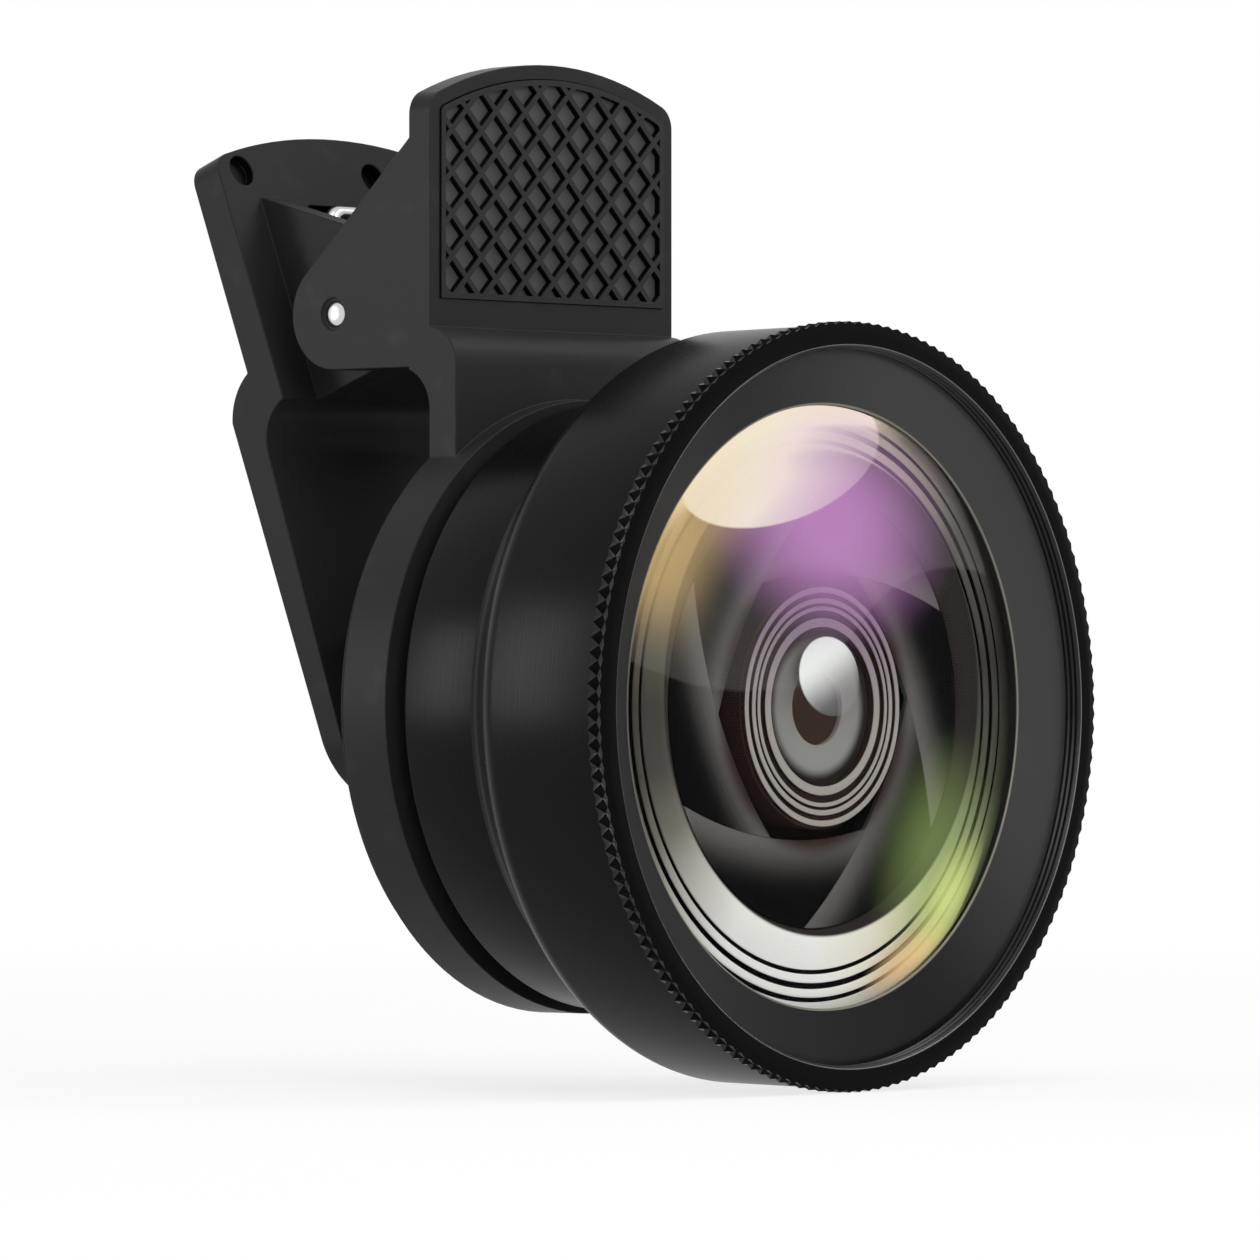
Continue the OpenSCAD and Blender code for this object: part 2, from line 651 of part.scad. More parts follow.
// A disc of glass, flat outside its clear radius: a bulge is measured at the axis, negative where hollow
module glass_disc(r, clear_r, front, rear, front_bulge, rear_bulge) {
    steps = 12;
    turned(concat(
        [for (i = [0:steps]) let (t = i / steps) [clear_r * t, front - front_bulge * (1 - t * t)]],
        [[r, front], [r, rear]],
        [for (i = [steps:-1:0]) let (t = i / steps) [clear_r * t, rear + rear_bulge * (1 - t * t)]]));
}

module ring(inner_r, outer_r, front, rear) {
    turned([[inner_r, front], [outer_r, front], [outer_r, rear], [inner_r, rear]]);
}

module macro_retaining_ring() color(black_metal)
    ring(macro_clear_r, macro_glass_r, macro_bore_front, macro_glass_front);
module macro_front_lens() color(clear_glass)
    glass_disc(macro_glass_r, macro_clear_r, macro_glass_front, spacer_front, lens_bulge, lens_bulge);
module macro_spacer() color(black_metal) ring(macro_lip_r, macro_glass_r, spacer_front, macro_rear_front);
module macro_rear_lens() color(clear_glass)
    glass_disc(macro_glass_r, macro_clear_r, macro_rear_front, lip_depth, lens_bulge, 0);

// The notches run both ways: straight grooves cross a groove that runs round the band
module knurled_ring() color(black_metal) {
    union() {
        turned([
            [filter_r, inner_chamfer], [filter_r + inner_chamfer, 0], [rim_r - rim_bevel_w, 0],
            [rim_r, rim_chamfer], [rim_r - notch_depth, (rim_chamfer + rim_w) / 2], [rim_r, rim_w],
            [ring_spigot_r, rim_w], [ring_spigot_r, ring_spigot_end],
            [filter_r + bezel_seat_step, ring_spigot_end], [filter_r + bezel_seat_step, filter_end],
            [filter_r, filter_end]]);
        facing(rim_chamfer + notch_trim / 2, rim_w - rim_chamfer - notch_trim) difference() {
            polygon([for (i = [0:2 * notch_count - 1]) let (a = 180 * i / notch_count)
                (rim_r - notch_trim - (i % 2) * notch_depth) * [cos(a), sin(a)]]);
            circle(r = ring_spigot_r);
        }
    }
}

// The barrel's outside runs straight, then swells down to its rear end in an even curve
module wide_barrel() color(black_metal) {
    swell_from = barrel_front + straight_l;
    swell_steps = 20;
    turned(concat(
        [[ring_spigot_r + seat_gap, barrel_front + seat_gap], [barrel_r, barrel_front + seat_gap]],
        [for (i = [0:swell_steps]) let (t = i / swell_steps)
            [mix(wide_rear_r, barrel_r - barrel_taper, (1 + cos(180 * t)) / 2),
             mix(swell_from, joint_depth, t)]],
        [[spigot_r, joint_depth], [spigot_r, joint_depth + spigot_l],
         [cell_flange_r - cell_lip_w, joint_depth + spigot_l], [cell_flange_r - cell_lip_w, cell_flange_end],
         [cell_flange_r + seat_gap, cell_flange_end], [cell_flange_r + seat_gap, hollow_end],
         [hollow_r, hollow_end], [hollow_r, seat_end], [seat_r + seat_gap, seat_end],
         [seat_r + seat_gap, ring_spigot_end], [ring_spigot_r + seat_gap, ring_spigot_end]]));
}

// The dome is a parabola through the bezel's edge; the glass's two faces follow it
function dome(r) = glass_edge_depth - dome_h * (1 - pow(r / bezel_r, 2));
function glass_front(r) = dome(r) + glass_clear;
function glass_rear(r) = glass_front(r) + glass_t;

module bezel_ring() color(black_metal) {
    outer = filter_r + bezel_seat_step - seat_gap;
    flat_w = 0.7;
    edge_t = 0.06;
    turned([
        [bezel_r, glass_edge_depth], [outer - flat_w, bezel_front], [outer, bezel_front],
        [outer, ring_spigot_end], [glass_r + seat_gap, ring_spigot_end],
        [glass_r + seat_gap, dome(glass_r)], [bezel_r, dome(bezel_r) + edge_t]]);
}

module front_glass() color(clear_glass) {
    steps = 16;
    turned(concat(
        [for (i = [0:steps]) let (r = glass_r * i / steps) [r, glass_front(r)]],
        [for (i = [steps:-1:0]) let (r = glass_r * i / steps) [r, glass_rear(r)]]));
}

// Points along the front of a stepped ring, from its innermost land outwards
function stepped(rings, front, groove) =
    [for (land = rings) each [[land[0], front + groove], [land[0], front],
                              [land[1], front], [land[1], front + groove]]];

module ridge_ring() color(bright_metal) {
    steps = stepped(lands, land_front, land_groove);
    turned(concat(
        [[leaf_seat_r, leaf_front], [lands[0][0], leaf_front]],
        [for (i = [1:len(steps) - 1]) steps[i]],
        [[glass_r - glass_seat_w, land_front + land_groove], [glass_r - glass_seat_w, glass_rear(glass_r)],
         [glass_r, glass_rear(glass_r)], [glass_r, ring_spigot_end], [seat_r, ring_spigot_end],
         [seat_r, seat_end], [leaf_seat_r - leaf_ledge_w, seat_end],
         [leaf_seat_r - leaf_ledge_w, leaf_front + leaf_t], [leaf_seat_r, leaf_front + leaf_t]]));
}

// One leaf of the stop: bounded by its own curved edge and by the next leaf's edge
function leaf_centre(n) =
    let (a = leaf_turn + 360 * n / leaf_count, reach = leaf_edge_r - tube_r - leaf_gap)
        reach * [cos(a), sin(a)];
module leaf(k) color(black_metal) {
    facing(leaf_front, leaf_t) difference() {
        intersection() {
            circle(r = leaf_seat_r - seat_gap);
            translate(leaf_centre(k + 1)) circle(r = leaf_edge_r - seat_gap, $fn = 192);
        }
        translate(leaf_centre(k)) circle(r = leaf_edge_r, $fn = 192);
    }
}

// The cell carries the pupil disc, the centre lens and the rear element
module lens_cell() color(grey_metal) {
    rear_r = rear_glass_r + turn_gap;
    turned(concat(
        [[disc_r + seat_gap, cell_front + cell_groove]], stepped(cell_rings, cell_front, cell_groove),
        [[tube_r, cell_front + cell_groove], [tube_r, cell_flange_front], [cell_flange_r, cell_flange_front],
         [cell_flange_r, cell_flange_end], [rear_r, cell_flange_end], [rear_r, rear_glass_front],
         [disc_r - disc_ledge_w, rear_glass_front], [disc_r - disc_ledge_w, disc_front + disc_t],
         [disc_r + seat_gap, disc_front + disc_t]]));
}
module pupil_disc() color(grey_metal)
    ring(disc_r * pupil_share, disc_r, disc_front, disc_front + disc_t);
module centre_lens() color(clear_glass)
    glass_disc(disc_r, disc_r - seat_gap, disc_front - centre_edge_t, disc_front, centre_bulge, 0);
module rear_lens() color(clear_glass)
    glass_disc(rear_glass_r, rear_glass_r - rear_ring_w, rear_glass_front, rear_ring_front,
               -rear_bulge, rear_bulge);
module rear_retaining_ring() color(black_metal)
    ring(rear_glass_r - rear_ring_w, rear_glass_r, rear_ring_front, cell_flange_end);

front_arm();
front_thumb_grip();
front_jaw_pad();
pivot_pin();
torsion_spring();
rear_arm();
rear_thumb_grip();
rear_jaw_pad();
macro_barrel();
macro_front_lens();
macro_spacer();
macro_rear_lens();
macro_retaining_ring();
wide_barrel();
knurled_ring();
bezel_ring();
front_glass();
ridge_ring();
leaf(0);  // iris_leaf_1
leaf(1);  // iris_leaf_2
leaf(2);  // iris_leaf_3
leaf(3);  // iris_leaf_4
leaf(4);  // iris_leaf_5
leaf(5);  // iris_leaf_6
lens_cell();
pupil_disc();
centre_lens();
rear_lens();
rear_retaining_ring();
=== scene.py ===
import math

import bmesh
import bpy
import numpy as np
from mathutils import Matrix, Vector


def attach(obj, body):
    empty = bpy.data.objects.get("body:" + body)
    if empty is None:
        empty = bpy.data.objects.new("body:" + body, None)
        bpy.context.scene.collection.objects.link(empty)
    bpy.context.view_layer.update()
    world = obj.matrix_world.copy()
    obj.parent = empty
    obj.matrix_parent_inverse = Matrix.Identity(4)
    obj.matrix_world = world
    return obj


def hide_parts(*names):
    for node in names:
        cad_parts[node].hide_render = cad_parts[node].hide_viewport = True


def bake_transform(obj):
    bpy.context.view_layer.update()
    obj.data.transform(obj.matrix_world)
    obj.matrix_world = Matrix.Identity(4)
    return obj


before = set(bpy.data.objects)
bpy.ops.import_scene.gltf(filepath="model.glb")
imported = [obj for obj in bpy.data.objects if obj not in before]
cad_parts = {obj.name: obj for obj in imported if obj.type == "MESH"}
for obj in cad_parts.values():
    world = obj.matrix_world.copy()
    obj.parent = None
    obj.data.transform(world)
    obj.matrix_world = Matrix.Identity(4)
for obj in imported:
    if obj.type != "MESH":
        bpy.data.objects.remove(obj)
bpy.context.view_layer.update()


# Front arm of the clip

# One injection moulding in black plastic: the ring with the female thread, the jaw plate in front of
# the phone, the thumb plate and the two cheeks for the pin. Its mould was spark eroded to a fine grain.

mm = 0.001


class Wire:
    """A socket of a material. An expression on wires and numbers adds the Math nodes that work it out."""

    def __init__(self, finish, socket):
        self.finish, self.socket = finish, socket

    def maths(self, operation, *values):
        return self.finish.add("Math", {"operation": operation}, dict(enumerate(values)))

    def __add__(self, other):
        return self.maths("ADD", self, other)

    def __radd__(self, other):
        return self.maths("ADD", other, self)

    def __sub__(self, other):
        return self.maths("SUBTRACT", self, other)

    def __rsub__(self, other):
        return self.maths("SUBTRACT", other, self)

    def __mul__(self, other):
        return self.maths("MULTIPLY", self, other)

    def __rmul__(self, other):
        return self.maths("MULTIPLY", other, self)

    def __truediv__(self, other):
        return self.maths("DIVIDE", self, other)

    def __rtruediv__(self, other):
        return self.maths("DIVIDE", other, self)

    def __pow__(self, other):
        return self.maths("POWER", self, other)

    def root(self):
        return self.maths("SQRT", self)

    def size(self):
        return self.maths("ABSOLUTE", self)

    def least(self, other):
        return self.maths("MINIMUM", self, other)

    def most(self, other):
        return self.maths("MAXIMUM", self, other)

    def rise(self, start, end):
        """0 up to start, 1 from end on, and an even S between them; start may be above end."""
        names = {"Value": self, "From Min": min(start, end), "From Max": max(start, end)}
        names["To Min"], names["To Max"] = (0.0, 1.0) if start < end else (1.0, 0.0)
        return self.finish.add("MapRange", {"interpolation_type": "SMOOTHSTEP"}, names)


class Finish:
    """A material being put together. add() makes any node: its type, its settings, which are set first, and the values or wires of its sockets."""

    def __init__(self, name):
        self.material = bpy.data.materials.new(name)
        self.material.use_nodes = True
        self.tree = self.material.node_tree
        self.tree.nodes.clear()

    def add(self, kind, settings=None, inputs=None, output=0):
        node = self.tree.nodes.new("ShaderNode" + kind)
        for name, value in (settings or {}).items():
            if name != "stops":
                setattr(node, name, value)
                continue
            stops = node.color_ramp.elements
            while len(stops) < len(value):
                stops.new(1.0)
            for stop, (place, colour) in zip(stops, value):
                stop.position, stop.color = place, (*colour, 1.0)
        for name, value in (inputs or {}).items():
            if isinstance(value, Wire):
                self.tree.links.new(value.socket, node.inputs[name])
            elif isinstance(value, tuple) and len(value) == 3 and node.inputs[name].type == "RGBA":
                node.inputs[name].default_value = (*value, 1.0)
            else:
                node.inputs[name].default_value = value
        return Wire(self, node.outputs[output])

    def place(self):
        """The point on the piece, in metres, and its x, y and z in millimetres."""
        point = self.add("TexCoord", output="Object")
        millimetres = self.add("VectorMath", {"operation": "SCALE"}, {0: point, "Scale": 1 / mm})
        return point, *[self.add("SeparateXYZ", None, {0: millimetres}, i) for i in range(3)]

    def noise(self, point, scale, detail=3.0):
        """Fractal noise whose largest spots are 1 / scale metres wide."""
        return self.add("TexNoise", None, {"Vector": point, "Scale": scale, "Detail": detail})

    def lines(self, along, scale, detail=2.0):
        """Noise that changes only with one value, as the marks of a turning tool do."""
        return self.add("TexNoise", {"noise_dimensions": "1D"}, {"W": along, "Scale": scale, "Detail": detail})

    def slant(self):
        """The share that clear glass mirrors: 0.04 from straight ahead and 1 at a grazing angle, on both faces."""
        return 0.04 + 0.96 * self.add("LayerWeight", None, {"Blend": 0.5}, "Facing") ** 5.0

    def mix(self, share, first, second):
        """The first colour where share is 0 and the second where it is 1."""
        return self.add("Mix", {"data_type": "RGBA"}, {0: share, 6: first, 7: second}, 2)

    def bump(self, height, depth, strength=1.0):
        return self.add("Bump", None, {"Height": height, "Distance": depth, "Strength": strength})

    def solid(self, **sockets):
        """Ends the material in a Principled shader. A socket's name is written with _ for a space."""
        shader = self.add("BsdfPrincipled", None, {k.replace("_", " "): v for k, v in sockets.items()})
        return self.end(shader)

    def end(self, shader):
        output = self.tree.nodes.new("ShaderNodeOutputMaterial")
        self.tree.links.new(shader.socket, output.inputs["Surface"])
        return self.material


def grey(value):
    return (value, value, value)


def moulded(name, tone, rough, grain, relief, shine, shaded=None):
    """Moulded plastic or rubber: a dark tone with faint flow marks, and grain of that many spots a metre. shaded() changes the tone in places."""
    f = Finish(name)
    point, x, y, z = f.place()
    flow, fine = f.noise(point, 60.0), f.noise(point, grain, 4.0)
    scuffs = f.noise(point, 420.0, 5.0).rise(0.56, 0.74)
    colour = f.mix(flow, tuple(0.82 * c for c in tone), tuple(1.18 * c for c in tone))
    colour = f.mix(scuffs * 0.25, colour, tuple(1.7 * c for c in tone))
    return f.solid(
        Base_Color=shaded(f, x, y, z, colour) if shaded else colour,
        Roughness=rough + (fine - 0.5) * 0.10 + (flow - 0.5) * 0.08 - scuffs * 0.05,
        Normal=f.bump(fine, relief),
        Specular_IOR_Level=shine,
    )


def dressed(piece, finishes, body, nodes):
    """Gives a piece its materials and its body, and hides the CAD nodes that it stands for. A piece without a body is
    not attached to one.
    """
    for finish in finishes:
        piece.data.materials.append(finish)
    if body:
        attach(piece, body)
    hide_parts(*nodes)
    return piece


def closed_mesh(mesh, sharp):
    """Merges doubles, so that seams and poles close, turns the faces outwards, and smooths all but sharp edges."""
    work = bmesh.new()
    work.from_mesh(mesh)
    bmesh.ops.remove_doubles(work, verts=work.verts, dist=0.0005 * mm)
    bmesh.ops.dissolve_degenerate(work, edges=work.edges, dist=0.0004 * mm)
    bmesh.ops.recalc_face_normals(work, faces=work.faces)
    work.to_mesh(mesh)
    work.free()
    mesh.shade_smooth()
    mesh.set_sharp_from_angle(angle=math.radians(sharp))
    return mesh


def eased(node, name, width, rounds=2):
    """A copy of a CAD solid with its doubles merged and its flat faces joined, and with eased edges."""
    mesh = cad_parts[node].data.copy()
    mesh.name = name
    mesh.materials.clear()
    work = bmesh.new()
    work.from_mesh(mesh)
    bmesh.ops.remove_doubles(work, verts=work.verts, dist=0.002 * mm)
    bmesh.ops.dissolve_limit(
        work, angle_limit=math.radians(0.6), verts=work.verts, edges=work.edges, use_dissolve_boundaries=False
    )
    work.to_mesh(mesh)
    work.free()
    if mesh.attributes.get("custom_normal"):
        mesh.attributes.remove(mesh.attributes["custom_normal"])
    mesh.shade_smooth()
    mesh.set_sharp_from_angle(angle=math.radians(28))
    piece = bpy.data.objects.new(name, mesh)
    bpy.context.scene.collection.objects.link(piece)
    bevel = piece.modifiers.new("eased_edges", "BEVEL")
    bevel.width, bevel.segments = width * mm, rounds
    bevel.limit_method, bevel.angle_limit = "ANGLE", math.radians(28)
    bevel.harden_normals = True
    return piece


clip_black = moulded("clip_black_plastic", (0.021, 0.021, 0.0215), 0.38, 5200.0, 0.005 * mm, 0.07)
front_arm = eased("front_arm", "front_arm_moulding", 0.3, 3)
dressed(front_arm, [clip_black], "front_clip", ["front_arm"])


# Front thumb grip

# A ribbed panel of harder black rubber, pressed into the seat of the thumb plate. Its diamonds are
# pockets between crossing ribs.

rib_height, front_ribs = 0.55, 1.05


def ribbed(name, out_y, out_z, top):
    """Rubber with painted light and shade in its pockets: their walls are painted black as shade, and their floors a
    little paler than the ribs as light. The ribs' tops lie in the plane out_y * y + out_z * z = top.
    """

    # Painted shade on the pocket walls and painted light on the pocket floors.
    def pockets(f, _, y, z, colour):
        below = top - (y * out_y + z * out_z)
        walls = below.rise(0.08, 0.14) * below.rise(rib_height - 0.02, rib_height - 0.08)
        floors = below.rise(rib_height - 0.08, rib_height - 0.02)
        return f.mix(floors, f.mix(walls, colour, (0.001, 0.001, 0.001)), (0.080, 0.080, 0.081))

    return moulded(name, (0.022, 0.022, 0.0225), 0.45, 7000.0, 0.005 * mm, 0.1, pockets)


front_grip = eased("front_thumb_grip", "front_thumb_grip_panel", 0.06, 2)
dressed(front_grip, [ribbed("front_grip_black_rubber", -1.0, 0.0, front_ribs)], "front_clip", ["front_thumb_grip"])


# Front jaw pad

# A thin ring of soft black foam rubber glued behind the clip ring, which touches the phone's back.

pad_black = moulded("pad_black_rubber", (0.014, 0.014, 0.0147), 0.78, 3800.0, 0.02 * mm, 0.2)
front_pad = eased("front_jaw_pad", "front_jaw_pad_ring", 0.12, 2)
dressed(front_pad, [pad_black], "front_clip", ["front_jaw_pad"])


# Pivot pin

# A turned steel pin pressed through the cheeks. Its ends are slightly domed and polished by tumbling.

pin_y, pin_z = 8.2, 27.1
pin_r, pin_half = 0.9, 12.545


def revolved(outline, columns, placed):
    """Carries a closed outline of (radius, station) points round an axis: each point keeps its station and goes round at its radius. placed() turns radius, station and the angle's cosine and sine into x, y and z."""
    outline = np.asarray(outline, float)
    angle = np.linspace(0, 2 * np.pi, columns, endpoint=False)[:, None]
    points = placed(outline[None, :, 0], outline[None, :, 1], np.cos(angle), np.sin(angle))
    points = np.stack(np.broadcast_arrays(*points), -1).reshape(-1, 3)
    rows = len(outline)
    column, row = np.meshgrid(np.arange(columns), np.arange(rows), indexing="ij")
    after, below = (column + 1) % columns, (row + 1) % rows
    corners = [column * rows + row, after * rows + row, after * rows + below, column * rows + below]
    return points * mm, np.stack(corners, -1).reshape(-1, 4)


def eased_outline(corners, samples=4):
    """Rounds an outline's corners. Each corner is (radius, station, cut): the corner gives way to a parabola that starts and ends that far along its two sides, or 0.45 of a shorter side."""
    corners = np.asarray(corners, float)
    at, cut = corners[:, :2], corners[:, 2:]
    to_last, to_next = np.roll(at, 1, 0) - at, np.roll(at, -1, 0) - at
    last_length = np.maximum(np.linalg.norm(to_last, axis=1, keepdims=True), 1e-9)
    next_length = np.maximum(np.linalg.norm(to_next, axis=1, keepdims=True), 1e-9)
    start = at + to_last / last_length * np.minimum(cut, 0.45 * last_length)
    end = at + to_next / next_length * np.minimum(cut, 0.45 * next_length)
    t = np.linspace(0, 1, samples)[None, :, None]
    curve = start[:, None] * (1 - t) ** 2 + at[:, None] * 2 * t * (1 - t) + end[:, None] * t**2
    curve = curve.reshape(-1, 2)
    return curve[np.linalg.norm(curve - np.roll(curve, 1, 0), axis=1) > 1e-6]


def piece_of(name, points, faces, sharp=32.0, groups=None):
    """Makes a closed mesh object of arrays of points and faces. groups gives each face's material number."""
    mesh = bpy.data.meshes.new(name)
    mesh.from_pydata(points.tolist(), [], faces.tolist())
    if groups is not None:
        mesh.polygons.foreach_set("material_index", np.asarray(groups, np.int32))
    closed_mesh(mesh, sharp)
    piece = bpy.data.objects.new(name, mesh)
    bpy.context.scene.collection.objects.link(piece)
    return piece


def round_the_pin(radius, station, cosine, sine):
    return station, pin_y + radius * cosine, pin_z + radius * sine


def turned_metal(name, tone, rough, metal=1.0, shine=0.5, pitch=9.0, relief=0.0012, shaded=None):
    """Metal from a lathe: fine lines round the axis, which follow depth and radius, and slight stains. shaded() changes the tone in places."""
    f = Finish(name)
    point, x, y, z = f.place()
    radius = (x * x + z * z).root()
    tool = f.lines(y * 1.0 + radius * 1.0, pitch)
    stain = f.noise(point, 160.0)
    colour = f.mix(stain, tuple(0.86 * c for c in tone), tuple(min(1.0, 1.12 * c) for c in tone))
    return f.solid(
        Base_Color=shaded(f, x, y, z, colour) if shaded else colour,
        Metallic=metal,
        Roughness=rough + (tool - 0.5) * 0.10 + (stain - 0.5) * 0.06,
        Normal=f.bump(tool, relief * mm),
        Specular_IOR_Level=shine,
    )


steel = turned_metal("pin_polished_steel", (0.62, 0.61, 0.60), 0.2)
pin_points, pin_faces = revolved(
    eased_outline([(0, -pin_half, 0), (0.62 * pin_r, 0.07 - pin_half, 0.1), (pin_r, 0.25 - pin_half, 0.12),
                   (pin_r, pin_half - 0.25, 0.12), (0.62 * pin_r, pin_half - 0.07, 0.1), (0, pin_half, 0)]),
    48, round_the_pin)
dressed(piece_of("pivot_pin_steel", pin_points, pin_faces, 60.0), [steel], "front_clip", ["pivot_pin"])


# Torsion spring

# One piece of bright music wire: a leg behind each cheek, two coils round the pin, and a loop between
# them that pushes the rear handle away.

wire_r, coil_r = 0.55, 2.55
leg_x, loop_x = 6.40, 3.2
leg_end = np.array([1.7, 35.7])
lean = math.radians(21.2)
lean_along = np.array([math.sin(lean), math.cos(lean)])
lean_out = np.array([math.cos(lean), -math.sin(lean)])
pin_at = np.array([pin_y, pin_z])
loop_at = pin_at + 5.86 * lean_out + 10.5 * lean_along


def touch_angle(point, side):
    """The angle at which a straight line from a point touches the coil's circle, on one side or the other."""
    away = point - pin_at
    return math.atan2(away[1], away[0]) + side * math.acos(coil_r / np.linalg.norm(away))


turn_from, turn_to = touch_angle(leg_end, 1), touch_angle(loop_at, -1) + 6 * math.pi
t = np.linspace(0, 1, 150)
turning = turn_from + (turn_to - turn_from) * t
coil = np.stack([leg_x + (loop_x - leg_x) * t, pin_y + coil_r * np.cos(turning), pin_z + coil_r * np.sin(turning)], 1)
bend = np.linspace(0, np.pi / 2, 10)
bend_r = 2 * wire_r
corner = loop_at[None, :] - bend_r * (1 - np.sin(bend))[:, None] * lean_along[None, :]
corner = np.concatenate([(loop_x - bend_r * (1 - np.cos(bend)))[:, None], corner], 1)
run = np.linspace(0, 1, 14)[1:-1, None]
leg = np.array([[leg_x, *leg_end]]) * (1 - run) + coil[:1] * run
reach = coil[-1:] * (1 - run) + corner[:1] * run
half = np.concatenate([[[leg_x, *leg_end]], leg, coil, reach, corner])
turned_over = np.clip((np.arange(len(half)) - len(half) + len(corner) + 12) / 12, 0, 1)[:, None] * np.pi / 2
guide = np.array([[1.0, 0, 0]]) * np.cos(turned_over) + np.array([[0, *lean_out]]) * np.sin(turned_over)
flip = np.array([-1.0, 1, 1])
route = np.concatenate([half, half[::-1] * flip])
guide = np.concatenate([guide, guide[::-1] * flip])


def carried(route, guide, radius, sides):
    """A round profile carried along a path: at each point a circle lies across the path, turned so that its start points as near to the guide as it can. The radius falls to nothing over the last few points."""
    along = np.gradient(route, axis=0)
    along /= np.linalg.norm(along, axis=1, keepdims=True)
    first = guide - (guide * along).sum(1, keepdims=True) * along
    first /= np.linalg.norm(first, axis=1, keepdims=True)
    second = np.cross(along, first)
    step = np.minimum(np.arange(len(route)), np.arange(len(route))[::-1])
    swell = radius * np.sqrt(np.clip(step, 0, 1))
    angle = np.linspace(0, 2 * np.pi, sides, endpoint=False)[None, :, None]
    ring = np.cos(angle) * first[:, None] + np.sin(angle) * second[:, None]
    points = (route[:, None] + ring * swell[:, None, None]).reshape(-1, 3)
    row, side = np.meshgrid(np.arange(len(route) - 1), np.arange(sides), indexing="ij")
    after = (side + 1) % sides
    corners = [row * sides + side, row * sides + after, (row + 1) * sides + after, (row + 1) * sides + side]
    return points * mm, np.stack(corners, -1).reshape(-1, 4)


spring_steel = turned_metal("spring_bright_wire", (0.55, 0.54, 0.53), 0.22, pitch=14.0)
wire = piece_of("torsion_spring_wire", *carried(route, guide, wire_r, 20), 50.0)
dressed(wire, [spring_steel], None, ["torsion_spring"])
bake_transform(wire)


# Rear arm

# The second moulding: a leaning thumb plate, the knee, the jaw that reaches over the screen, and the
# two ears that turn on the pin. The mould left a slot and two round marks inside.

rear_face, mark_r, mark_up, mark_x = 6.46, 1.1, 13.7, (-10.2, 3.3)
slot_up, slot_half, slot_low = 10.5, 4.8, 0.8


def painted_recess_shade(f, x, y, z, colour):
    """Paints shade into the mould's marks and the spring's slot: darkens places behind the handle's inner face, and in
    their outlines.
    """
    behind = (y - pin_y) * lean_out[0] + (z - pin_z) * lean_out[1] - rear_face
    up = (y - pin_y) * lean_along[0] + (z - pin_z) * lean_along[1]
    deep = behind.rise(0.05, 0.12) * behind.rise(1.1, 1.0)
    inside = (x.size() - slot_half).most((up - slot_up).size() - slot_low).rise(0.08, 0.0)
    for centre in mark_x:
        u, v = x - centre, up - mark_up
        inside = inside.most((u * u + v * v).root().rise(mark_r + 0.1, mark_r))
    return f.mix(inside * deep * 0.9, colour, (0.001, 0.001, 0.001))


rear_black = moulded("rear_arm_black_plastic", (0.019, 0.019, 0.0195), 0.38, 5200.0, 0.005 * mm, 0.06, painted_recess_shade)
rear_arm = eased("rear_arm", "rear_arm_moulding", 0.3, 3)
dressed(rear_arm, [rear_black], "rear_clip", ["rear_arm"])


# Rear thumb grip

# The same ribbed panel as in front, pressed into the outer face of the rear handle.

rear_ribs = pin_y * lean_out[0] + pin_z * lean_out[1] + rear_face + 2.75
rear_grip = eased("rear_thumb_grip", "rear_thumb_grip_panel", 0.06, 2)
dressed(rear_grip, [ribbed("rear_grip_black_rubber", lean_out[0], lean_out[1], rear_ribs)], "rear_clip",
        ["rear_thumb_grip"])


# Rear jaw pad

# A bevelled block of soft black rubber glued near the jaw's tip, which presses on the glass of the screen.

rear_pad = eased("rear_jaw_pad", "rear_jaw_pad_block", 0.5, 4)
dressed(rear_pad, [pad_black], "rear_clip", ["rear_jaw_pad"])


# Macro lens barrel

# A short aluminium ring, turned and anodised black, with the female thread in front for the wide lens
# and a male thread behind for the clip. The letters of the real one are left out.

rim_y = -28.3


def round_the_lens(radius, depth, cosine, sine):
    return radius * cosine, rim_y + depth, radius * sine


def anodised(name, tone, rough, shine, shaded=None):
    """Black anodised aluminium: a dark satin skin that keeps the lathe's fine lines."""
    return turned_metal(name, tone, rough, 0.0, shine, 7.0, 0.0006, shaded)


barrel_black = anodised("barrel_black_anodised", (0.0027, 0.0027, 0.0029), 0.28, 0.085)


def threaded(radius, start, end, pitch, height):
    """The outline of a screw thread from start to end: its crests lie on the radius, and its roots are height deeper."""
    count = max(1, round(abs(end - start) / pitch))
    edges = np.linspace(start, end, 4 * count + 1)
    dips = np.tile([0, 1, 1, 0], count)
    return [(radius - height * d, e, 0.0) for d, e in zip([*dips, 0], edges)]


macro_front, macro_end, macro_tip = 15.63, 22.4, 26.0
macro_outline = eased_outline(
    [(18.5, macro_front, 0.1), (20.55, macro_front, 0.12), (20.9, macro_front + 0.3, 0.15),
     (20.9, macro_end - 0.3, 0.15), (20.55, macro_end, 0.12), (18.45, macro_end, 0.1),
     *threaded(18.45, 22.7, 25.8, 0.75, 0.32), (18.2, macro_tip, 0.1),
     (13.5, macro_tip, 0.15), (13.5, 24.4, 0.1), (15.05, 24.4, 0), (15.05, 18.3, 0.05), (18.5, 18.3, 0)])
macro_barrel = piece_of("macro_barrel_turned", *revolved(macro_outline, 320, round_the_lens))
dressed(macro_barrel, [barrel_black], "macro_lens", ["macro_barrel"])


# Elements inside the macro lens

# Two polished glass elements with a spacer between them, held from the front by a threaded ring. They
# show only through the clip ring's window and at the joint when the wide lens is off.

ring_black = anodised("inner_ring_black", (0.005, 0.005, 0.005), 0.5, 0.12)


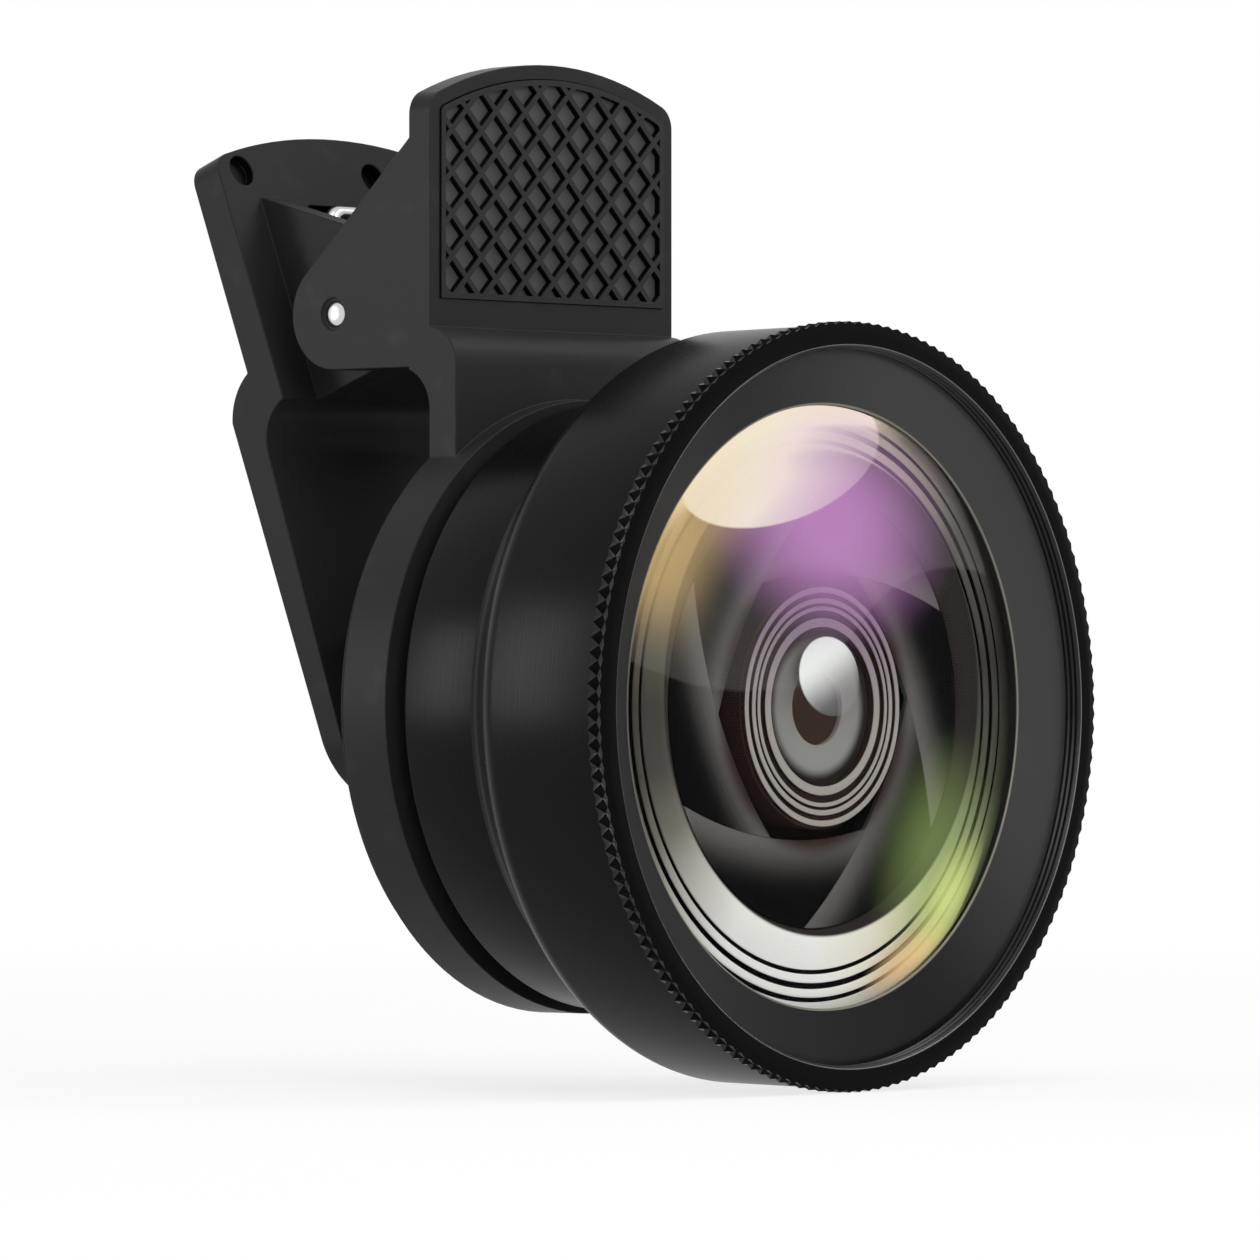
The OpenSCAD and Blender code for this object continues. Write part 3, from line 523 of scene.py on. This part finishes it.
def polished_glass(name, tint, share, tone):
    """Coated optical glass: it lets most light straight through, and mirrors a share that grows at a slant."""
    f = Finish(name)
    point = f.place()[0]
    film = f.noise(point, 45.0).rise(0.3, 0.75)
    slant = f.slant()
    mirror = f.add("BsdfPrincipled", None, {
        "Base Color": f.mix(film, tone, tuple(0.8 * c for c in tone)), "Metallic": 1.0, "Roughness": 0.04})
    clear = f.add("BsdfTransparent", None, {"Color": tint})
    return f.end(f.add("MixShader", None, {0: slant * share * (0.9 + film * 0.2), 1: clear, 2: mirror}))


macro_glass = polished_glass("macro_coated_glass", (0.93, 0.97, 0.95), 0.3, (0.5, 0.8, 0.62))
inner_glass = polished_glass("inner_coated_glass", (0.95, 0.98, 0.96), 0.06, (0.6, 0.8, 0.7))
for node, finish in (("macro_front_lens", inner_glass), ("macro_rear_lens", macro_glass),
                     ("macro_spacer", ring_black), ("macro_retaining_ring", ring_black)):
    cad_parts[node].data.materials.clear()
    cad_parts[node].data.materials.append(finish)


# Wide-angle lens barrel

# The largest turned part: a straight black anodised tube that draws in over an even shoulder to its
# male thread. The letters of the real one are left out.

barrel_front, barrel_r, joint, rear_r = 1.23, 25.75, 15.6, 21.6
swell = np.linspace(0, 1, 25)
shoulder = [(rear_r + (25.6 - rear_r) * (1 + math.cos(math.pi * s)) / 2, 9.9 + (joint - 9.9) * s, 0.0) for s in swell[:-1]]
wide_outline = eased_outline(
    [(25.03, barrel_front, 0.05), (barrel_r, barrel_front, 0.1), *shoulder, (rear_r, joint - 0.12, 0.12),
     (rear_r - 0.3, joint, 0.1), (18.45, joint, 0.1), *threaded(18.45, 15.9, 17.7, 0.6, 0.3),
     (18.2, 18.0, 0.1), (14.4, 18.0, 0.1), (14.4, 16.2, 0), (15.43, 16.2, 0), (15.43, 11.2, 0),
     (20.4, 11.2, 0.1), (20.4, 6.0, 0), (22.43, 6.0, 0), (22.43, 4.4, 0), (25.03, 4.4, 0)])
wide_barrel = piece_of("wide_barrel_turned", *revolved(wide_outline, 384, round_the_lens))
dressed(wide_barrel, [barrel_black], "wide_lens", ["wide_barrel"])


# Knurled ring

# The front ring, turned, knurled on its band and anodised. Straight notches cross a groove round the
# band, so that each crest is a diamond with a ridge. A filter thread runs inside its mouth.

rim_r, notch_depth, tooth, notches = 26.0, 0.3, 0.17, 160
band_front, band_rear = 0.12, 1.2
ring_outline = eased_outline(
    [(rim_r, band_front, 0), (25.3, 0.0, 0.12), (24.42, 0.0, 0.06), (24.2, 0.22, 0.03),
     *threaded(24.2, 0.3, 1.16, 0.43, -0.12), (24.2, 1.2, 0), (24.5, 1.2, 0), (24.5, 4.4, 0), (25.0, 4.4, 0.1),
     (25.0, band_rear, 0), (rim_r, band_rear, 0)])


def knurled(outline):
    """The ring's outline carried round the lens, with two columns for each notch. Even columns are the notches, which are notch_depth deep in the middle of the band and tooth deep at its two edges; odd columns are the crests. The faces turn along diagonals from each notch's middle to the crests' ends, which splits the band into dark diamonds on the crests and sloping triangles at its edges."""
    outline = np.roll(outline, -np.argmin(np.abs(outline - (rim_r, band_front)).sum(1)), 0)
    columns, rows = 2 * notches, len(outline) + 1
    angle = np.linspace(0, 2 * np.pi, columns, endpoint=False)[:, None]
    notch = np.arange(columns)[:, None] % 2 == 0
    middle = np.where(notch, rim_r - notch_depth, rim_r - 0.03)
    radius = np.concatenate([np.broadcast_to(outline[:, 0], (columns, rows - 1)), middle], 1)
    radius[:, [0, rows - 2]] -= np.where(notch, tooth, 0.0)
    depth = np.append(outline[:, 1], (band_front + band_rear) / 2)[None]
    points = np.stack(np.broadcast_arrays(radius * np.cos(angle), rim_y + depth, radius * np.sin(angle)), -1)
    column, row = np.meshgrid(np.arange(columns), np.arange(rows), indexing="ij")
    after, below = (column + 1) % columns, (row + 1) % rows
    a, b, c, d = (i[:, :, None] for i in (column * rows + row, after * rows + row, after * rows + below, column * rows + below))
    falling = (column % 2 == 0) ^ (row == rows - 1)
    first = np.where(falling[:, :, None], np.concatenate([a, b, d], 2), np.concatenate([a, b, c], 2))
    second = np.where(falling[:, :, None], np.concatenate([b, c, d], 2), np.concatenate([a, c, d], 2))
    on_diamond = np.stack([row == rows - 1, row == rows - 2], -1)
    at_mouth = np.abs(outline[:, 0] - 24.36) + np.abs(outline[:, 1] - 0.05) < 0.16
    in_front = outline[:, 1] < band_front + 0.01
    on_mouth = np.append(at_mouth & np.roll(at_mouth, -1), False)[None, :, None]
    on_front = np.append(in_front & np.roll(in_front, -1), False)[None, :, None] & ~on_mouth
    faces = np.stack([first, second], 2)
    return points.reshape(-1, 3) * mm, faces.reshape(-1, 3), (on_diamond + 2 * on_mouth + 3 * on_front).reshape(-1)


# Painted shade on the diamonds of the crests and on the ring's front face, which are darker copies of the black
# anodising, and a painted highlight on the mouth's edge, which is a paler metal.
knurl_black = anodised("knurl_black_anodised", (0.009, 0.009, 0.0095), 0.26, 0.2)
diamond_painted_shade = anodised("knurl_diamond_painted_shade", (0.0012, 0.0012, 0.0013), 0.5, 0.02)
mouth_painted_highlight = turned_metal("knurl_mouth_painted_highlight", (0.10, 0.10, 0.098), 0.35, 0.4)
front_painted_shade = anodised("knurl_front_painted_shade", (0.0022, 0.0022, 0.0024), 0.34, 0.03)
knurl_points, knurl_faces, finish_of_face = knurled(ring_outline)
knurl = piece_of("knurled_ring_turned", knurl_points, knurl_faces, 18.0, finish_of_face)
dressed(knurl, [knurl_black, diamond_painted_shade, mouth_painted_highlight, front_painted_shade], "wide_lens", ["knurled_ring"])


# Bezel ring

# A thin cone between the filter thread and the glass, anodised matt against flare. Its inner lip is
# cut bright where it meets the glass.

lip_r, lip_depth = 20.4, 2.6
bezel_outline = eased_outline(
    [(lip_r, lip_depth + 0.02, 0), (lip_r + 0.02, lip_depth - 0.06, 0.03), (lip_r + 0.16, lip_depth - 0.1, 0.03),
     (23.72, 1.33, 0.1), (23.9, 1.3, 0.05), (24.47, 1.3, 0), (24.47, 4.4, 0), (21.23, 4.4, 0),
     (21.23, 2.75, 0), (lip_r, lip_depth + 0.06, 0)])
bezel_points, bezel_faces = revolved(bezel_outline, 320, round_the_lens)
face_radius = np.linalg.norm(bezel_points[bezel_faces].mean(1)[:, [0, 2]], axis=1) / mm
face_depth = bezel_points[bezel_faces].mean(1)[:, 1] / mm - rim_y
bright_lip = (face_radius < lip_r + 0.15) & (face_depth < lip_depth + 0.01)


def painted_light_side(f, x, _, z, colour):
    """Painted light: the matt black is painted a little paler on one side of the ring."""
    return f.mix((x + z * 0.5).rise(-2.0, 20.0), colour, (0.045, 0.044, 0.045))


bezel_black = anodised("bezel_matt_black", (0.0052, 0.0052, 0.0055), 0.36, 0.10, painted_light_side)
lip_bright = turned_metal("bezel_bright_lip", (0.19, 0.18, 0.15), 0.35)
bezel = piece_of("bezel_ring_turned", bezel_points, bezel_faces, groups=bright_lip)
dressed(bezel, [bezel_black, lip_bright], "wide_lens", ["bezel_ring"])


# Front glass

# The domed front element. Its films mirror painted reflections, each painted in its own place: a cream
# highlight and violet above, gold at the upper left, and green to orange at the lower right; they let the rest through.

glass_r, dome_h, dome_shift, glass_t = 21.2, 1.45, 0.13, 0.9


def domed(radius):
    """The depth of the glass's front: a parabola that is dome_h higher in the middle than at the bezel's lip."""
    return lip_depth - dome_h * (1 - (radius / lip_r) ** 2) + dome_shift


def painted_glass_reflections(f, x, z):
    """The painted reflections of the front glass as pairs of strength and colour, each painted in its own place on the
    dome.
    """
    radius = (x * x + z * z).root()

    def turned_from(degrees):
        """How many degrees a point lies round the axis from a direction, on either side of it."""
        c, s = math.cos(math.radians(degrees)), math.sin(math.radians(degrees))
        return f.add("Math", {"operation": "ARCTAN2"}, {0: z * c - x * s, 1: x * c + z * s}).size() * (180 / math.pi)

    def spot(centre, sizes, tilt):
        """How far a point is out of an ellipse: 0 at its centre and 1 on its edge."""
        c, s = math.cos(math.radians(tilt)), math.sin(math.radians(tilt))
        u, v = x - centre[0], z - centre[1]
        along, over = (u * c + v * s) / sizes[0], (v * c - u * s) / sizes[1]
        return (along * along + over * over).root()

    sky = spot((-4.6, 16.4), (10.6, 3.9), 14)
    fade = 0.86 - (x + 8.5).most(0.0) * 0.050 - (15.5 - z).most(0.0) * 0.06 + (z - 16.8).most(0.0) * 0.13
    cream_share = sky.rise(1.0, 0.955) * fade.least(0.95).most(0.0)
    cream = f.mix(x.rise(-9.0, 4.0), (1.0, 0.94, 0.80), (0.86, 0.66, 0.76))
    crown_share = radius.rise(18.8, 20.2) * turned_from(106).rise(44.0, 16.0) * 0.8
    violet_share = spot((-0.5, 12.5), (14.4, 9.3), -6).rise(1.0, 0.12) * 0.54 * (1 - cream_share)
    edge_left = 0.9 + (x + 9.5) * (x + 9.5) * 0.018
    edge_right = 9.4 - (x - 13.0) * (x - 13.0) * 0.03
    share = x.rise(-8.0, 5.0)
    veil_edge = edge_left * (1 - share) + edge_right * share
    veil_share = (z - veil_edge).rise(0.0, 0.3) * 0.042
    gold_share = radius.rise(13.0, 20.0) * turned_from(142).rise(54.0, 4.0) * (z - veil_edge).rise(0.0, 7.0) * 0.54
    green_share = spot((10.4, -9.4), (9.4, 6.8), 55).rise(1.0, 0.0) * 0.25
    yellow_share = spot((12.8, -13.2), (6.6, 3.4), 47).rise(1.0, 0.0) * 0.58
    orange_share = spot((8.6, -17.2), (5.8, 2.2), 24).rise(1.0, 0.0) * 0.62
    return [
        (cream_share, cream),
        (crown_share, (1.0, 0.88, 0.62)),
        (violet_share, (0.80, 0.34, 0.82)),
        (gold_share, (0.76, 0.52, 0.20)),
        (veil_share, (0.80, 0.76, 0.74)),
        (green_share, (0.50, 0.72, 0.22)),
        (yellow_share, (0.82, 0.92, 0.30)),
        (orange_share, (1.0, 0.66, 0.30)),
    ]


def coat_with_painted_reflections(name):
    """Coated glass that mirrors the painted reflections in their colours and places, and lets the rest through."""
    f = Finish(name)
    _, x, _, z = f.place()
    haze = f.slant() * 0.08
    total, colour = haze, None
    for share, tone in [(haze, (0.8, 0.8, 0.85)), *painted_glass_reflections(f, x, z)]:
        weighed = f.add("VectorMath", {"operation": "SCALE"}, {0: tone, "Scale": share})
        colour = weighed if colour is None else f.add("VectorMath", {"operation": "ADD"}, {0: colour, 1: weighed})
        total = share if colour is weighed else total + share
    total = total.most(0.001)
    even = f.add("VectorMath", {"operation": "SCALE"}, {0: colour, "Scale": 1 / total})
    mirror = f.add("BsdfPrincipled", None, {"Base Color": even, "Metallic": 1.0, "Roughness": 0.05})
    clear = f.add("BsdfTransparent", None, {"Color": (0.97, 0.97, 0.97)})
    return f.end(f.add("MixShader", None, {0: total.least(0.92), 1: clear, 2: mirror}))


span = np.linspace(0, 1, 49) * glass_r
front_face = np.stack([span, domed(span)], 1)
glass_outline = np.concatenate([front_face, front_face[::-1] + (0, glass_t)])
glass_points, glass_faces = revolved(glass_outline, 256, round_the_lens)
is_front = np.tile(np.arange(len(glass_outline)) < len(span) - 1, 256)
rear_coat = polished_glass("front_glass_rear_film", (0.97, 0.98, 0.97), 0.03, (0.7, 0.75, 0.8))
glass = piece_of("front_glass_dome", glass_points, glass_faces, 30.0, 1 - is_front)
dressed(glass, [coat_with_painted_reflections("front_glass_painted_reflections"), rear_coat], "wide_lens", ["front_glass"])


# Stepped ring behind the glass

# A bright turned ring whose lands step down to the leaves. The dark grooves between them stop flare.

land_front, land_groove, leaf_front = 3.6, 0.5, 3.7
lands = [(15.9, 17.81), (18.1, 18.7), (19.1, 19.69)]


def stepped(rings, front, groove, cut):
    """The outline of a stepped ring, from its innermost land outwards, with eased land edges."""
    return [corner for inner, outer in rings
            for corner in ((inner, front + groove, 0), (inner, front, cut), (outer, front, cut), (outer, front + groove, 0))]


seat_depth = domed(glass_r) + glass_t
ridge_outline = eased_outline(
    [(15.0, leaf_front, 0.1), *stepped(lands, land_front, land_groove, 0.08)[1:], (20.0, land_front + land_groove, 0),
     (20.0, seat_depth, 0), (21.2, seat_depth, 0), (21.2, 4.4, 0), (22.4, 4.4, 0), (22.4, 6.0, 0), (13.4, 6.0, 0),
     (13.4, 4.0, 0), (15.0, 4.0, 0)])
ridge_points, ridge_faces = revolved(ridge_outline, 320, round_the_lens)
ridge_centre = ridge_points[ridge_faces].mean(1)
on_land = ridge_centre[:, 1] / mm - rim_y < np.where(np.hypot(*ridge_centre.T[[0, 2]]) / mm > 19.95, 3.8, land_front + 0.09)

# Painted shade: inside this circle the lands are painted dark brown.
shade_at, shade_r = (0.95, 0.9), 16.5
# Painted reflections: the land's tone round the ring stands in for what it reflects.
painted_land_tones = [  # angle in degrees from +X towards +Z, and what the land shows there
    (-180, (0.042, 0.039, 0.032)), (-165, (0.055, 0.050, 0.040)), (-150, (0.17, 0.155, 0.125)), (-136, (0.48, 0.46, 0.42)),
    (-120, (0.80, 0.79, 0.76)), (-90, (0.88, 0.87, 0.84)), (-68, (0.86, 0.80, 0.66)), (-48, (0.66, 0.70, 0.36)),
    (-34, (0.30, 0.36, 0.18)), (-16, (0.080, 0.085, 0.055)), (10, (0.038, 0.035, 0.034)), (38, (0.10, 0.09, 0.085)),
    (62, (0.42, 0.35, 0.31)), (84, (0.80, 0.70, 0.50)), (112, (0.72, 0.56, 0.30)), (140, (0.36, 0.27, 0.13)),
    (162, (0.11, 0.095, 0.065)), (180, (0.042, 0.039, 0.032)),
]


def land_metal(name):
    """A bright turned land with fine tool lines. Its tone, which changes round the ring, is a painted reflection, and a
    painted shade darkens it near the leaves.
    """
    f = Finish(name)
    point, x, _, z = f.place()
    angle = f.add("Math", {"operation": "ARCTAN2"}, {0: z, 1: x})
    turn = angle / (2 * math.pi) + 0.5
    stops = [((a + 180) / 360, colour) for a, colour in painted_land_tones]
    tone = f.add("ValToRGB", {"stops": stops}, {0: turn})
    tool = f.lines((x * x + z * z).root(), 11.0)
    u, v = x - shade_at[0], z - shade_at[1]
    outside_shade = (u * u + v * v).root().rise(shade_r - 0.15, shade_r + 0.1)
    return f.solid(
        Base_Color=f.mix(outside_shade, (0.012, 0.007, 0.006), f.mix(tool * 0.12, tone, (0.08, 0.07, 0.06))),
        Metallic=0.0,
        Roughness=0.38 + (tool - 0.5) * 0.12,
        Normal=f.bump(tool, 0.001 * mm),
        Specular_IOR_Level=0.1,
    )


groove_black = anodised("groove_matt_black", (0.003, 0.0025, 0.002), 0.6, 0.03)
ridge = piece_of("ridge_ring_turned", ridge_points, ridge_faces, groups=on_land)
dressed(ridge, [groove_black, land_metal("ridge_bright_land")], "wide_lens", ["ridge_ring"])


# Leaves of the stop

# Six thin blackened blades in a pinwheel. Each carries painted light along its curved edge that falls off
# to black behind the next one, and all carry painted brown-black shade next to the cell.

leaf_edge_r, leaf_gap_r, first_centre = 31.98, 8.995, -87.0


def blackened_leaf(name, number):
    """A blackened blade with painted light: its tone follows the distance from its own curved edge, which is part of a
    circle, and a painted shade darkens it near the cell.
    """
    f = Finish(name)
    point, x, _, z = f.place()
    a = math.radians(first_centre + 60.0 * number)
    reach = leaf_edge_r - leaf_gap_r
    u, v = x - reach * math.cos(a), z - reach * math.sin(a)
    from_edge = (u * u + v * v).root() - leaf_edge_r
    radius = (x * x + z * z).root()
    # Painted light that falls off from the blade's curved edge, and painted brown-black shade near the cell.
    glow = from_edge.rise(4.4, 0.0) ** 2.2 * radius.rise(8.6, 10.4)
    brushed = f.noise(point, 1500.0, 4.0)
    brown = radius.rise(10.6, 8.4)
    tone = f.mix(glow * (0.9 + brushed * 0.2), (0.0012, 0.0010, 0.0011), (0.118, 0.110, 0.106))
    return f.solid(
        Base_Color=f.mix(brown * 0.9, tone, (0.040, 0.020, 0.016)),
        Roughness=0.6 + (brushed - 0.5) * 0.1,
        Normal=f.bump(brushed, 0.0004 * mm),
        Specular_IOR_Level=0.01,
    )


for number in range(6):
    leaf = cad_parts[f"iris_leaf_{number + 1}"]
    leaf.data.materials.clear()
    leaf.data.materials.append(blackened_leaf(f"leaf_{number + 1}_black", number))


# Centre cell

# The small tube that carries the centre lens. Its front is turned into fine bright steps with dark
# grooves, and its flange sits at the back of the barrel.

cell_front, cell_groove, tube_r = 2.9, 0.35, 8.295
steps = [(5.4, 6.0), (6.5, 6.79), (6.99, 7.35), (7.7, 8.1)]
cell_outline = eased_outline(
    [(5.34, cell_front + cell_groove, 0), *stepped(steps, cell_front, cell_groove, 0.05), (tube_r, cell_front + cell_groove, 0),
     (tube_r, 12.2, 0.1), (15.4, 12.2, 0.1), (15.4, 16.2, 0), (12.05, 16.2, 0), (12.05, 13.1, 0), (4.71, 13.1, 0),
     (4.71, 3.8, 0), (5.34, 3.8, 0)])
cell_points, cell_faces = revolved(cell_outline, 256, round_the_lens)
cell_centre = cell_points[cell_faces].mean(1)
cell_radius = np.linalg.norm(cell_centre[:, [0, 2]], axis=1) / mm
cell_land = (cell_centre[:, 1] / mm - rim_y < cell_front + 0.06) & (cell_radius < tube_r)


def cell_metal(name):
    """The bright steps of the cell: a warm grey that is palest low down and painted violet above as a reflection, with
    tool lines.
    """
    f = Finish(name)
    _, x, _, z = f.place()
    tool = f.lines((x * x + z * z).root(), 14.0)
    # Painted reflection: violet towards the top.
    warm = f.mix(z.rise(-2.0, 7.0), (0.34, 0.315, 0.285), (0.24, 0.17, 0.24))
    return f.solid(
        Base_Color=f.mix(tool * 0.15, warm, (0.05, 0.04, 0.035)),
        Roughness=0.4 + (tool - 0.5) * 0.12,
        Normal=f.bump(tool, 0.0007 * mm),
        Specular_IOR_Level=0.1,
    )


cell_brown = anodised("cell_brown_black", (0.030, 0.015, 0.012), 0.5, 0.04)
cell = piece_of("lens_cell_turned", cell_points, cell_faces, groups=cell_land)
dressed(cell, [cell_brown, cell_metal("cell_bright_step")], "wide_lens", ["lens_cell"])


# Disc with the pupil

# A thin grey disc behind the centre lens. Its grey fades to brown-black at the cell, and the hole in
# its middle is the pupil.

pupil_r, disc_r, disc_front, disc_back = 2.6, 5.309, 3.4, 3.8


def grey_disc(name):
    """A grey that fades to brown-black towards the rim of the disc, and is darker and violet towards the top."""
    f = Finish(name)
    point, x, _, z = f.place()
    radius = (x * x + z * z).root()
    spray = f.noise(point, 1400.0, 3.0)
    pale = radius.rise(5.0, 4.1) * (0.9 + spray * 0.2)
    tone = f.mix(z.rise(4.0, -4.0), (0.20, 0.175, 0.185), (0.32, 0.31, 0.295))
    return f.solid(
        Base_Color=f.mix(pale, (0.014, 0.007, 0.006), tone),
        Roughness=0.6 + (spray - 0.5) * 0.1,
        Normal=f.bump(spray, 0.0006 * mm),
        Specular_IOR_Level=0.03,
    )


disc_outline = eased_outline([(pupil_r, disc_front, 0.08), (disc_r, disc_front, 0.02), (disc_r, disc_back, 0.02),
                              (pupil_r, disc_back, 0.08)])
disc = piece_of("pupil_disc_stamped", *revolved(disc_outline, 160, round_the_lens))
dressed(disc, [grey_disc("pupil_grey")], "wide_lens", ["pupil_disc"])


# Centre lens

# The strongly domed small lens in front of the pupil. Its film carries a painted reflection of one bright round window.

centre_edge, centre_top = 3.15, 2.45
painted_highlight_at, painted_highlight_r = (0.55, 2.05), (3.3, 2.75)
ghost_at = -1.0


def centre_painted_reflection(name):
    """Coated glass with painted reflections: it mirrors strongly inside one circle, most at its upper end, and faintly
    brown over the pupil.
    """
    f = Finish(name)
    _, x, _, z = f.place()
    u, v = (x - painted_highlight_at[0]) / painted_highlight_r[0], (z - painted_highlight_at[1]) / painted_highlight_r[1]
    out = (u * u + v * v).root()
    up = v - u * 0.55
    share = out.rise(1.0, 0.95) * (0.14 + up.rise(-0.9, 0.75) * 0.82)
    s = x - ghost_at
    ghost = (s * s + z * z).root().rise(pupil_r + 0.1, pupil_r - 0.1) * 0.035
    haze = f.slant() * 0.15 + ghost
    in_window = share.rise(0.0, 0.02)
    silver = f.mix(up.rise(-1.0, 0.4), (0.66, 0.62, 0.64), (0.97, 0.97, 0.97))
    mirror = f.add("BsdfPrincipled", None, {
        "Base Color": f.mix(in_window, f.mix(ghost.rise(0.0, 0.02), (0.9, 0.9, 0.9), (0.95, 0.56, 0.44)), silver),
        "Metallic": 1.0, "Roughness": 0.05})
    clear = f.add("BsdfTransparent", None, {"Color": (0.96, 0.96, 0.96)})
    return f.end(f.add("MixShader", None, {0: (share + haze).least(0.95), 1: clear, 2: mirror}))


span = np.linspace(0, 1, 25)
face = np.stack([span * (disc_r - 0.03), centre_edge - (centre_edge - centre_top) * (1 - span**2)], 1)
centre_back = disc_front - 0.02
centre_outline = np.concatenate([face, [(disc_r, centre_edge), (disc_r, centre_back), (0, centre_back)]])
centre_points, centre_faces = revolved(centre_outline, 128, round_the_lens)
centre = piece_of("centre_lens_dome", centre_points, centre_faces, 30.0,
                  1 - np.tile(np.arange(len(centre_outline)) < len(span) - 1, 128))
dressed(centre, [centre_painted_reflection("centre_lens_painted_reflection"), rear_coat], "wide_lens", ["centre_lens"])


# Rear element and its ring

# The last element of the wide lens and the threaded ring that holds it in the cell. They show from
# behind when the wide lens is unscrewed.

for node, finish in (("rear_lens", inner_glass), ("rear_retaining_ring", ring_black)):
    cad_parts[node].data.materials.clear()
    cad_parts[node].data.materials.append(finish)


# Studio

# A white sweep without a corner, two softboxes and a weak fill. The floor keeps the object's shadow,
# and the white behind it is there for the camera, mirrors and glass, not as light on the object.

f = Finish("studio_white")
point, x, y, _ = f.place()
paper = f.noise(point, 30.0)
path = {name: f.add("LightPath", output=name) for name in ("Is Camera Ray", "Is Glossy Ray", "Is Transmission Ray")}
seen = path["Is Camera Ray"].most(path["Is Glossy Ray"]).most(path["Is Transmission Ray"])
matt = f.add("BsdfDiffuse", None, {"Color": f.mix(paper, (0.90, 0.90, 0.90), (0.92, 0.92, 0.92))})
glow = f.add("Emission", None, {"Color": (1.0, 1.0, 1.0), "Strength": 1.0})
far = (x * x + y * y).root().rise(70.0, 420.0)
f.end(f.add("MixShader", None, {0: seen * (0.78 + far * 0.22), 1: matt, 2: glow}))
side, floor_z = 3.0, -26.02 * mm
sheet = bpy.data.meshes.new("studio_floor")
sheet.from_pydata([(-side, -side, floor_z), (side, -side, floor_z), (side, side, floor_z), (-side, side, floor_z)], [], [(0, 1, 2, 3)])
floor = bpy.data.objects.new("studio_floor", sheet)
bpy.context.scene.collection.objects.link(floor)
sheet.materials.append(f.material)

world = bpy.data.worlds.new("studio")
world.use_nodes = True
bpy.context.scene.world = world
nodes, links = world.node_tree.nodes, world.node_tree.links
nodes.clear()
fill, white = nodes.new("ShaderNodeBackground"), nodes.new("ShaderNodeBackground")
fill.inputs["Color"].default_value, fill.inputs["Strength"].default_value = (1, 1, 1, 1), 0.62
white.inputs["Color"].default_value, white.inputs["Strength"].default_value = (1, 1, 1, 1), 1.0
rays, either, any_of = nodes.new("ShaderNodeLightPath"), nodes.new("ShaderNodeMath"), nodes.new("ShaderNodeMath")
either.operation = any_of.operation = "MAXIMUM"
choice, out = nodes.new("ShaderNodeMixShader"), nodes.new("ShaderNodeOutputWorld")
links.new(rays.outputs["Is Camera Ray"], either.inputs[0])
links.new(rays.outputs["Is Glossy Ray"], either.inputs[1])
links.new(either.outputs[0], any_of.inputs[0])
links.new(rays.outputs["Is Transmission Ray"], any_of.inputs[1])
links.new(any_of.outputs[0], choice.inputs[0])
links.new(fill.outputs[0], choice.inputs[1])
links.new(white.outputs[0], choice.inputs[2])
links.new(choice.outputs[0], out.inputs["Surface"])

middle_of_part = Vector((0.0, -8 * mm, 6 * mm))


def softbox(name, direction, distance, width, height, radiance):
    """A rectangular lamp that faces the object. Its power is its brightness times its area times pi."""
    lamp = bpy.data.lights.new(name, "AREA")
    lamp.shape, lamp.size, lamp.size_y = "RECTANGLE", width, height
    lamp.energy = radiance * width * height * math.pi
    obj = bpy.data.objects.new(name, lamp)
    away = Vector(direction).normalized()
    obj.matrix_world = Matrix.Translation(middle_of_part + away * distance) @ away.to_track_quat("Z", "Y").to_matrix().to_4x4()
    bpy.context.scene.collection.objects.link(obj)


softbox("softbox_left_rear", (-0.76, 0.64, 0.03), 0.60, 0.13, 0.44, 7.2)
softbox("softbox_front_right", (0.72, -0.66, 0.95), 0.70, 0.34, 0.22, 4.0)
softbox("softbox_front", (-0.35, -0.90, 0.35), 0.80, 0.46, 0.36, 3.4)
softbox("softbox_top", (-0.15, -0.25, 1.0), 0.70, 0.40, 0.40, 2.0)

view_right = Vector((0.6600, -0.7513, 0.0)).normalized()
view_forward = Vector((0.7513, 0.6600, 0.0)).normalized()
eye = Vector((0.0, rim_y, 0.0)) * mm - view_right * 15.232 * mm - view_forward * 620 * mm
photo_side, focal_pixels, horizon_row, film = 1260.0, 9199.0, 706.7, 36.0
tilt = math.atan((horizon_row - photo_side / 2) / focal_pixels)
gaze = view_forward * math.cos(tilt) + Vector((0, 0, 1)) * math.sin(tilt)
lens = bpy.data.cameras.new("photo_camera")
lens.lens, lens.sensor_width = focal_pixels / photo_side * film, film
lens.clip_start, lens.clip_end = 0.05, 20.0
camera = bpy.data.objects.new("photo_camera", lens)
camera.matrix_world = Matrix.Translation(eye) @ (-gaze).to_track_quat("Z", "Y").to_matrix().to_4x4()
bpy.context.scene.collection.objects.link(camera)
bpy.context.scene.camera = camera
bpy.context.scene.view_settings.view_transform = "Standard"
